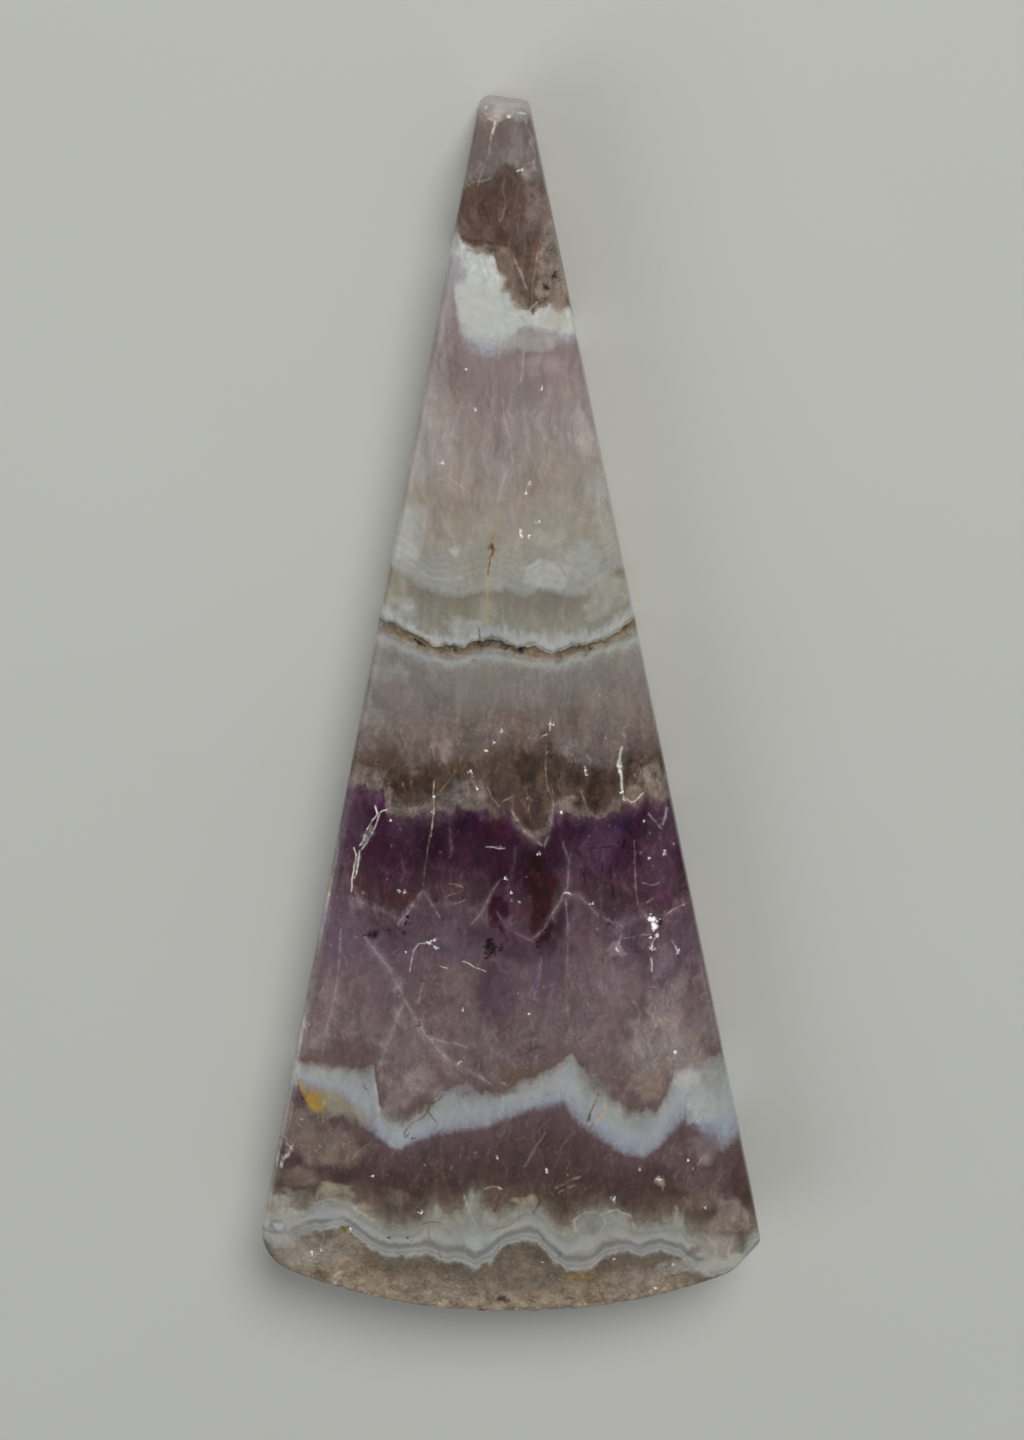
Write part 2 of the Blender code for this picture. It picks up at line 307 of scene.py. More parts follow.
# A band of the stone: its upper line, how high and how wide the teeth of that line are, how much it shows
# of each trait below, and its tones from its upper line, 0, to its lower line, 1
Band = namedtuple("Band", "name top teeth tooth_width fibre crystal needle grain cloud ring tones")
TRAITS = ("fibre", "crystal", "needle", "grain", "cloud", "ring")
BANDS = (
    Band("grey tip", None, 0, 1, 0.3, 0.2, 0.3, 0.2, 0.35, 0, (
        (0.0, (134, 127, 122)), (0.25, (113, 102, 99)), (0.5, (103, 92, 89)), (0.8, (113, 104, 99)),
        (0.95, (117, 108, 103)),
    )),
    Band("brown", BROWN_TOP, 0.25, 0.8, 0.5, 0.8, 0.5, 0.5, 1.3, 0, (
        (0.0, (98, 84, 77)), (0.1, (87, 70, 62)), (0.6, (84, 67, 59)), (0.86, (92, 76, 68)),
        (0.93, (77, 61, 53)), (0.97, (112, 100, 90)), (0.995, (123, 114, 103)),
    )),
    Band("white patch", WHITE_TOP, 0.05, 0.3, 0.1, 0, 0, 0.1, 0.15, 0.5, (
        (0.03, (165, 166, 160)), (0.15, (178, 180, 175)), (0.82, (176, 179, 175)),
        (0.92, (166, 169, 169)), (0.98, (154, 155, 161)),
    )),
    Band("mauve", MAUVE_TOP, 0.05, 0.4, 0.7, 0.15, 0.2, 0.1, 0.6, 0, (
        (0.0, (150, 150, 153)), (0.05, (139, 133, 136)), (0.13, (127, 114, 113)),
        (0.35, (127, 114, 113)), (0.7, (136, 126, 121)),
    )),
    Band("peach", PEACH_TOP, 0.9, 1.2, 0.6, 0.1, 0.2, 0.1, 0.6, 0, (
        (0.0, (140, 131, 125)), (0.4, (140, 131, 122)), (0.85, (144, 138, 127)),
    )),
    Band("scallops", SCALLOP_TOP, 0.3, 0.8, 0.15, 0, 0, 0.1, 0.4, 1, (
        (0.1, (142, 138, 128)), (0.5, (142, 140, 132)), (0.9, (142, 141, 135)), (0.98, (134, 132, 124)),
    )),
    Band("beige fibres", SCALLOP_LOW, 0.08, 0.4, 0.6, 0, 0, 0.1, 0.35, 0, (
        (0.05, (120, 114, 102)), (0.4, (127, 122, 110)), (0.95, (131, 130, 119)),
    )),
    Band("fringe", FRINGE_TOP, 0.3, 0.12, 0.6, 0, 0, 0.1, 0.25, 0, (
        (0.0, (134, 133, 123)), (0.35, (151, 153, 149)), (0.6, (160, 163, 162)),
        (0.78, (156, 158, 155)), (0.88, (126, 125, 118)), (0.95, (158, 153, 142)),
        (0.99, (148, 141, 128)),
    )),
    Band("seam", SEAM_TOP, 0.08, 0.2, 0.1, 0, 0, 1, 0.9, 0, (
        (0.07, (96, 86, 72)), (0.5, (102, 91, 76)), (0.9, (114, 104, 90)),
    )),
    Band("line under the seam", SEAM_LOW, 0.09, 0.3, 0.1, 0, 0, 0.2, 0.25, 0, (
        (0.05, (124, 117, 106)), (0.3, (134, 131, 123)), (0.6, (147, 148, 144)),
        (0.85, (145, 145, 141)),
    )),
    Band("grey fade", LINE_LOW, 0.09, 0.3, 0.6, 0.1, 0.3, 0.2, 0.5, 0, (
        (0.0, (136, 135, 131)), (0.08, (121, 116, 110)), (0.45, (116, 108, 102)), (0.8, (109, 98, 92)),
    )),
    Band("smoke", SMOKE_TOP, 0.7, 0.8, 0.9, 1.0, 0.8, 0.5, 1.2, 0, (
        (0.0, (96, 84, 78)), (0.15, (82, 68, 61)), (0.5, (73, 59, 51)), (0.9, (79, 65, 58)),
    )),
    Band("pale rim", RIM_TOP, 0.3, 0.3, 0.6, 0.6, 0.5, 0.5, 0.8, 0, (
        (0.15, (103, 91, 85)), (0.85, (102, 90, 84)),
    )),
    Band("deep purple", PURPLE_TOP, 0.2, 0.2, 0.6, 1, 1, 0.1, 0.9, 0, (
        (0.04, (70, 50, 62)), (0.15, (51, 28, 44)), (0.5, (54, 31, 45)), (0.75, (66, 46, 53)),
        (0.9, (70, 51, 57)), (0.99, (84, 67, 73)),
    )),
    Band("lilac", LILAC_TOP, 0.2, 0.22, 0.4, 0.35, 0.45, 0.2, 0.8, 0, (
        (0.01, (96, 80, 85)), (0.04, (85, 68, 75)), (0.12, (84, 67, 75)), (0.35, (91, 75, 81)),
        (0.7, (99, 84, 88)),
    )),
    Band("dusk", DUSK_TOP, 0.6, 1.0, 0.3, 0.4, 0.6, 0.3, 0.9, 0, (
        (0.0, (104, 90, 92)), (0.5, (101, 87, 87)), (0.93, (93, 79, 77)),
    )),
    Band("chevrons", CHEVRON_TOP, 0.17, 0.4, 0.12, 0, 0, 0.1, 0.45, 0, (
        (0.04, (124, 120, 116)), (0.18, (138, 140, 138)), (0.5, (147, 151, 153)),
        (0.75, (139, 144, 151)), (0.9, (127, 129, 137)), (0.99, (106, 97, 103)),
    )),
    Band("brown needles", CHEVRON_LOW, 0.04, 0.7, 0.8, 0.2, 1, 0.2, 0.7, 0, (
        (0.06, (88, 73, 75)), (0.35, (82, 66, 67)), (0.8, (73, 58, 58)),
    )),
    Band("brown shade", SHADE_TOP, 0.5, 0.5, 0.6, 0.3, 0.5, 0.4, 1.2, 0, (
        (0.3, (72, 57, 52)), (0.6, (84, 72, 64)), (0.85, (104, 95, 85)), (0.97, (121, 115, 105)),
    )),
    Band("upper lace", LACE_TOP, 0.08, 0.25, 0.05, 0, 0, 0.1, 0.4, 0, (
        (0.05, (128, 126, 117)), (0.25, (139, 138, 131)), (0.4, (132, 132, 126)),
        (0.6, (146, 147, 142)), (0.8, (152, 153, 149)), (0.93, (134, 134, 130)),
        (0.98, (120, 119, 115)),
    )),
    Band("lower lace", LACE_MIDDLE, 0.04, 0.3, 0.05, 0, 0, 0.1, 0.4, 0, (
        (0.0, (118, 118, 114)), (0.25, (121, 121, 118)), (0.4, (144, 145, 142)),
        (0.55, (139, 139, 136)), (0.65, (130, 130, 127)), (0.82, (151, 151, 147)),
        (0.97, (131, 128, 121)),
    )),
    Band("grainy base", LACE_LOW, 0.1, 0.2, 0, 0, 0, 0.85, 1.1, 0, (
        (0.05, (103, 92, 80)), (0.18, (104, 93, 79)), (0.36, (129, 116, 100)), (0.8, (142, 128, 111)),
        (1.0, (149, 136, 119)),
    )),
)

# Marks that lie across the bands. Places, half sizes and widths are in pixels of the photograph, a
# patch's turn is in degrees from upright towards the right, and a small softness gives it a sharp edge.
# A line's veil is the haze beside it, as a share of its strength
Patch = namedtuple("Patch", "place half_wide half_high turn tone strength softness", defaults=(0.85,))
PATCHES = (
    # the tip
    Patch((508, 110), 19, 12, 0, (156, 154, 149), 0.75),
    Patch((476, 150), 11, 24, 10, (101, 89, 86), 0.5),
    Patch((521, 150), 7, 26, -15, (138, 131, 128), 0.45),
    Patch((502, 142), 6, 14, 0, (104, 92, 92), 0.6),
    Patch((528, 160), 7, 7, 30, (102, 92, 95), 0.6, 0.5),
    # the brown patch and its tongue
    Patch((469, 206), 14, 12, 0, (82, 64, 57), 0.6),
    Patch((503, 236), 7, 9, 0, (72, 55, 48), 0.6),
    Patch((510, 184), 5, 12, 0, (84, 69, 60), 0.6),
    Patch((529, 198), 4, 4, 0, (70, 52, 52), 0.85, 0.5),
    Patch((514, 214), 6, 7, 0, (80, 63, 56), 0.7, 0.5),
    Patch((545, 206), 13, 34, -12, (114, 99, 93), 0.8),
    Patch((533, 212), 6, 9, 30, (114, 101, 98), 0.5),
    Patch((526, 238), 8, 12, 0, (100, 86, 83), 0.5),
    Patch((556, 262), 18, 50, -10, (133, 120, 109), 0.95, 0.6),
    Patch((550, 290), 12, 13, 0, (132, 119, 106), 0.95, 0.5),
    Patch((553, 276), 3.2, 5, 32, (56, 43, 38), 1.0, 0.5),
    Patch((546.5, 288), 2.8, 4.4, -30, (62, 46, 40), 1.0, 0.5),
    Patch((508, 276), 9, 26, -10, (110, 96, 84), 0.8),
    Patch((535, 256), 4, 26, 6, (94, 77, 69), 0.8, 0.6),
    Patch((520, 300), 8, 8, -20, (122, 108, 92), 0.6),
    Patch((481, 248), 13, 3, -14, (124, 112, 103), 0.7, 0.5),
    # the white patch
    Patch((488, 296), 20, 18, 0, (181, 182, 175), 0.8),
    Patch((446, 292), 9, 46, 11, (142, 134, 136), 0.85),
    Patch((453, 274), 12, 16, 10, (146, 139, 140), 0.8),
    Patch((558, 320), 14, 8, 0, (172, 173, 166), 0.7),
    # mauve and peach
    Patch((535, 343), 28, 9, 0, (155, 150, 146), 0.85),
    Patch((538, 364), 22, 10, 0, (144, 132, 130), 0.8),
    Patch((490, 372), 44, 12, 0, (131, 119, 118), 0.6),
    Patch((497, 430), 6, 32, -4, (118, 104, 103), 0.8),
    Patch((462, 392), 6, 22, 8, (121, 108, 108), 0.5),
    Patch((586, 440), 8, 32, -20, (155, 150, 143), 0.75, 0.6),
    Patch((562, 405), 12, 20, -20, (134, 121, 119), 0.5),
    Patch((528, 440), 6, 34, -4, (145, 136, 132), 0.5),
    Patch((424, 440), 13, 60, 10, (145, 140, 136), 0.75),
    Patch((406, 543), 14, 34, 10, (160, 162, 157), 0.9),
    Patch((450, 520), 17, 26, -14, (133, 123, 113), 0.6),
    Patch((520, 505), 16, 26, 0, (140, 128, 119), 0.5),
    Patch((605, 500), 16, 44, -12, (155, 152, 144), 0.8),
    Patch((560, 480), 16, 34, -20, (140, 131, 122), 0.5),
    # the scallops and the beige fibres under them
    Patch((436, 574), 30, 14, 0, (144, 146, 141), 0.7),
    Patch((454, 552), 5, 5, 0, (166, 167, 164), 0.7),
    Patch((546, 572), 24, 18, 0, (164, 165, 158), 0.8, 0.5),
    Patch((592, 560), 24, 20, 0, (156, 158, 152), 0.75),
    Patch((478, 565), 9, 22, 0, (140, 135, 123), 0.7),
    Patch((512, 574), 12, 12, 0, (148, 146, 138), 0.6),
    Patch((612, 592), 18, 16, -30, (156, 155, 144), 0.8),
    Patch((398, 596), 14, 12, 40, (140, 136, 122), 0.7),
    Patch((404, 607), 15, 9, 30, (154, 155, 148), 0.8),
    Patch((486, 616), 8, 18, 0, (148, 144, 130), 0.6),
    Patch((466, 627), 18, 8, 0, (160, 161, 157), 0.7),
    Patch((392, 616), 18, 7, -25, (168, 171, 167), 0.7),
    Patch((540, 604), 34, 6, 0, (122, 113, 103), 0.6),
    Patch((601, 605), 20, 12, -20, (150, 148, 139), 0.85),
    Patch((548, 540), 16, 12, 0, (159, 156, 145), 0.75),
    # the grey fade
    Patch((440, 726), 34, 12, 0, (104, 93, 86), 0.4),
    Patch((372, 715), 12, 20, 8, (124, 119, 114), 0.6),
    Patch((388, 672), 19, 14, 0, (134, 131, 126), 0.85),
    Patch((598, 738), 13, 14, 0, (92, 81, 78), 0.75),
    Patch((512, 720), 20, 12, 0, (96, 83, 74), 0.5),
    Patch((578, 722), 26, 18, 0, (106, 94, 88), 0.5),
    Patch((572, 750), 22, 12, 35, (120, 110, 105), 0.75),
    Patch((494, 772), 6, 30, 5, (70, 54, 52), 0.6),
    Patch((446, 752), 5, 14, 15, (132, 120, 114), 0.6, 0.6),
    Patch((432, 744), 16, 8, 0, (114, 103, 100), 0.5),
    # the smoke and its cells
    Patch((358, 756), 8, 8, 0, (78, 65, 55), 0.8, 0.5),
    Patch((366, 774), 16, 9, 0, (104, 92, 84), 0.7, 0.5),
    Patch((391, 764), 10, 12, 0, (76, 61, 51), 0.8, 0.6),
    Patch((414, 786), 19, 16, 0, (62, 47, 38), 0.9, 0.4),
    Patch((389, 796), 3, 16, 0, (124, 110, 101), 0.8, 0.5),
    Patch((443, 786), 11, 11, 0, (76, 62, 51), 0.8, 0.5),
    Patch((474, 799), 20, 10, 0, (124, 112, 104), 0.75, 0.5),
    Patch((492, 774), 8, 22, 0, (70, 57, 52), 0.75, 0.5),
    Patch((506, 792), 7, 18, 10, (64, 50, 44), 0.75, 0.5),
    Patch((530, 768), 15, 20, 0, (64, 50, 42), 0.85, 0.5),
    Patch((533, 812), 17, 20, 0, (66, 50, 48), 0.9, 0.35),
    Patch((504, 798), 22, 22, 0, (64, 50, 47), 0.85, 0.6),
    Patch((567, 803), 10, 9, 0, (122, 109, 100), 0.8, 0.5),
    Patch((574, 780), 12, 7, 0, (72, 58, 48), 0.7, 0.5),
    Patch((599, 794), 11, 23, 0, (62, 48, 40), 0.9, 0.35),
    Patch((606, 804), 9, 11, 0, (70, 54, 49), 0.7),
    Patch((608, 776), 9, 12, 0, (72, 58, 48), 0.7, 0.5),
    Patch((637, 768), 10, 18, 0, (90, 76, 66), 0.7, 0.5),
    Patch((652, 780), 12, 18, -10, (122, 112, 101), 0.8, 0.6),
    Patch((650, 742), 10, 18, 0, (106, 92, 84), 0.5),
    # deep purple
    Patch((524, 938), 48, 27, 0, (66, 48, 57), 0.85, 0.7),
    Patch((440, 916), 44, 9, 0, (76, 58, 66), 0.6),
    Patch((600, 916), 22, 9, 0, (78, 61, 70), 0.5),
    Patch((354, 820), 14, 30, 5, (70, 51, 66), 0.8),
    Patch((400, 834), 13, 14, 0, (62, 42, 58), 0.6, 0.6),
    Patch((429, 845), 15, 19, 0, (42, 20, 36), 0.8, 0.5),
    Patch((471, 826), 13, 17, 0, (44, 20, 38), 0.85, 0.4),
    Patch((496, 832), 12, 15, 0, (50, 18, 34), 0.85, 0.4),
    Patch((537, 866), 18, 19, 0, (36, 6, 21), 0.9, 0.5),
    Patch((542, 904), 16, 35, 0, (50, 27, 32), 0.95, 0.3),
    Patch((500, 909), 12, 21, 0, (46, 23, 33), 0.95, 0.35),
    Patch((395, 897), 20, 13, 0, (68, 45, 46), 0.8, 0.4),
    Patch((460, 888), 15, 18, 10, (80, 62, 67), 0.6, 0.6),
    Patch((502, 868), 12, 22, 5, (46, 24, 36), 0.7),
    Patch((624, 826), 14, 11, 0, (50, 30, 56), 0.8),
    Patch((592, 850), 28, 28, 0, (69, 49, 65), 0.7),
    Patch((612, 893), 27, 28, 0, (66, 47, 54), 0.8, 0.4),
    Patch((573, 899), 10, 7, 0, (80, 64, 70), 0.7, 0.5),
    Patch((576, 872), 9, 22, 0, (80, 62, 72), 0.6),
    Patch((664, 856), 22, 46, -12, (74, 54, 65), 0.75),
    Patch((340, 880), 14, 24, 8, (80, 62, 70), 0.6),
    Patch((665, 900), 9, 13, 0, (78, 47, 66), 0.7, 0.6),
    Patch((357, 905), 10, 10, 0, (114, 99, 100), 0.6, 0.6),
    Patch((632, 791), 7, 8, 0, (112, 98, 84), 0.7, 0.6),
    # lilac
    Patch((565, 917), 11, 16, 0, (52, 35, 45), 0.85),
    Patch((396, 932), 28, 9, 0, (72, 55, 64), 0.7),
    Patch((336, 945), 16, 26, 8, (92, 76, 90), 0.7),
    Patch((392, 948), 20, 16, 0, (78, 60, 72), 0.7),
    Patch((378, 985), 28, 30, 10, (99, 84, 88), 0.6),
    Patch((379, 958), 12, 12, 0, (86, 71, 78), 0.75),
    Patch((665, 960), 13, 28, 0, (113, 98, 104), 0.8),
    Patch((318, 1046), 16, 13, 0, (119, 109, 105), 0.85),
    Patch((490, 1066), 17, 13, 0, (89, 77, 76), 0.8),
    Patch((450, 980), 24, 20, 0, (106, 91, 92), 0.7),
    Patch((497, 986), 26, 46, 0, (78, 60, 69), 0.8),
    Patch((491, 948), 5, 9, 0, (44, 31, 38), 0.85, 0.6),
    Patch((373, 935), 6, 5, 0, (58, 43, 50), 0.7, 0.6),
    Patch((540, 975), 12, 30, 0, (88, 70, 84), 0.6),
    Patch((562, 975), 6, 46, 0, (98, 82, 88), 0.6),
    Patch((614, 990), 28, 40, 0, (107, 92, 96), 0.8),
    Patch((617, 950), 8, 9, 0, (140, 125, 132), 0.7, 0.5),
    Patch((690, 950), 10, 26, -10, (92, 75, 84), 0.7),
    Patch((688, 984), 7, 9, 0, (88, 66, 78), 0.6),
    Patch((668, 1006), 22, 38, 0, (128, 116, 115), 0.75),
    Patch((703, 1022), 9, 22, -10, (110, 101, 105), 0.7),
    Patch((326, 1004), 12, 40, 8, (112, 98, 101), 0.7),
    Patch((398, 984), 7, 10, 30, (124, 112, 114), 0.6, 0.6),
    Patch((409, 1048), 14, 20, 0, (110, 97, 96), 0.6),
    Patch((414, 1084), 26, 24, 0, (129, 117, 115), 0.75),
    Patch((452, 1066), 18, 14, 0, (118, 106, 102), 0.6),
    Patch((512, 1074), 12, 18, 0, (92, 75, 66), 0.8, 0.6),
    Patch((538, 1050), 20, 16, 0, (92, 75, 78), 0.6),
    Patch((610, 1076), 26, 16, 0, (108, 94, 92), 0.5),
    Patch((648, 1082), 18, 20, 0, (123, 108, 97), 0.7),
    Patch((345, 1052), 34, 12, 0, (91, 75, 73), 0.75),
    # pale haze along the chevrons
    Patch((392, 1112), 10, 9, 0, (126, 120, 118), 0.6),
    Patch((463, 1089), 15, 7, 0, (132, 127, 125), 0.6),
    Patch((508, 1089), 12, 8, 0, (90, 82, 79), 0.7),
    Patch((598, 1085), 8, 30, -52, (128, 122, 119), 0.5),
    Patch((702, 1108), 17, 18, 0, (158, 161, 161), 0.85),
    Patch((668, 1050), 32, 36, -10, (131, 121, 117), 0.85),
    Patch((687, 1082), 13, 20, 8, (166, 168, 165), 0.85),
    Patch((703, 1146), 22, 20, 0, (116, 105, 106), 0.85),
    # between the chevrons and the lace
    Patch((320, 1146), 44, 24, 10, (110, 96, 88), 0.9),
    Patch((298, 1120), 22, 20, 10, (114, 103, 94), 0.7),
    Patch((430, 1165), 40, 16, 0, (84, 70, 68), 0.5),
    Patch((560, 1152), 30, 24, 0, (70, 54, 55), 0.65),
    Patch((398, 1200), 15, 13, 0, (93, 83, 76), 0.8),
    Patch((545, 1192), 40, 10, 0, (84, 70, 64), 0.6),
    Patch((700, 1180), 30, 20, 10, (98, 82, 80), 0.7),
    Patch((706, 1200), 22, 14, 0, (107, 92, 84), 0.8),
    Patch((726, 1220), 22, 22, 20, (127, 115, 106), 0.85),
    Patch((720, 1244), 20, 13, 0, (146, 140, 133), 0.85),
    Patch((660, 1182), 5, 7, -20, (146, 134, 118), 0.7, 0.6),
    Patch((331, 1191), 22, 11, 0, (138, 131, 113), 0.85, 0.5),
    Patch((363, 1208), 8, 6, 30, (132, 124, 106), 0.7, 0.5),
    Patch((508, 1199), 10, 9, 0, (82, 70, 60), 0.8),
    Patch((526, 1201), 14, 7, 0, (134, 126, 108), 0.85, 0.5),
    Patch((304, 1196), 10, 8, 0, (112, 104, 96), 0.6),
    Patch((286, 1201), 18, 12, 0, (137, 133, 124), 0.9),
    Patch((304, 1176), 26, 12, 0, (103, 91, 83), 0.85),
    Patch((672, 1156), 13, 11, 0, (100, 84, 84), 0.8),
    # the lace
    Patch((280, 1243), 20, 11, 0, (156, 154, 148), 0.9),
    Patch((288, 1218), 20, 10, 0, (153, 153, 148), 0.8),
    Patch((328, 1214), 20, 7, 5, (146, 146, 149), 0.8),
    Patch((279, 1226), 14, 14, 0, (150, 151, 146), 0.9, 0.4),
    Patch((279, 1226), 9, 9, 0, (128, 128, 124), 0.95, 0.4),
    Patch((279, 1226), 5, 5, 0, (160, 161, 158), 1.0, 0.4),
    Patch((300, 1232), 16, 5, 0, (132, 127, 122), 0.6),
    Patch((475, 1205), 6, 19, 0, (136, 136, 131), 0.7, 0.6),
    Patch((437, 1213), 5, 9, 10, (146, 146, 138), 0.8, 0.5),
    Patch((472, 1243), 10, 9, 0, (162, 163, 159), 0.8, 0.6),
    Patch((588, 1227), 12, 12, 0, (128, 128, 120), 0.85, 0.4),
    Patch((617, 1220), 14, 8, 0, (136, 136, 130), 0.8, 0.5),
    Patch((637, 1248), 18, 4, 0, (136, 132, 136), 0.7),
    Patch((676, 1216), 4, 10, 0, (142, 138, 130), 0.7, 0.5),
    Patch((693, 1250), 8, 7, 0, (112, 98, 82), 0.75, 0.6),
    # the base
    Patch((306, 1256), 50, 20, -8, (136, 128, 116), 0.85),
    Patch((346, 1243), 15, 10, 0, (131, 120, 104), 0.85),
    Patch((337, 1280), 7, 5, 0, (150, 138, 122), 0.8, 0.5),
    Patch((404, 1272), 26, 7, 10, (106, 93, 80), 0.7),
    Patch((520, 1277), 36, 26, 0, (99, 89, 78), 0.9),
    Patch((502, 1300), 7, 6, 0, (88, 74, 64), 0.9, 0.5),
    Patch((580, 1276), 18, 4, 0, (128, 106, 72), 0.8, 0.6),
    Patch((603, 1302), 8, 5, 0, (136, 112, 74), 0.8, 0.5),
    Patch((640, 1278), 30, 12, -14, (126, 114, 106), 0.6),
    Patch((688, 1268), 30, 10, 0, (142, 137, 128), 0.85),
    Patch((714, 1265), 16, 9, 0, (160, 160, 154), 0.85),
    Patch((736, 1262), 14, 9, 0, (166, 167, 161), 0.8),
    # stains, and a hole in the seam, painted near-black as the shade inside its pit
    Patch((522, 651.5), 3.4, 3.8, 0, (18, 12, 12), 1.0, 0.3),
    Patch((334, 1103), 14, 34, -58, (134, 126, 110), 0.85),
    Patch((316, 1104), 11, 12, 0, (142, 124, 82), 0.8),
    Patch((313, 1101), 7, 14, -36, (149, 118, 54), 0.95, 0.7),
    Patch((301, 1086), 3, 9, -25, (160, 140, 92), 0.8),
    Patch((346, 1228), 6, 4, 0, (112, 94, 62), 0.85, 0.5),
    Patch((492, 549), 2.5, 6, 5, (104, 66, 28), 1.0, 0.5),
)

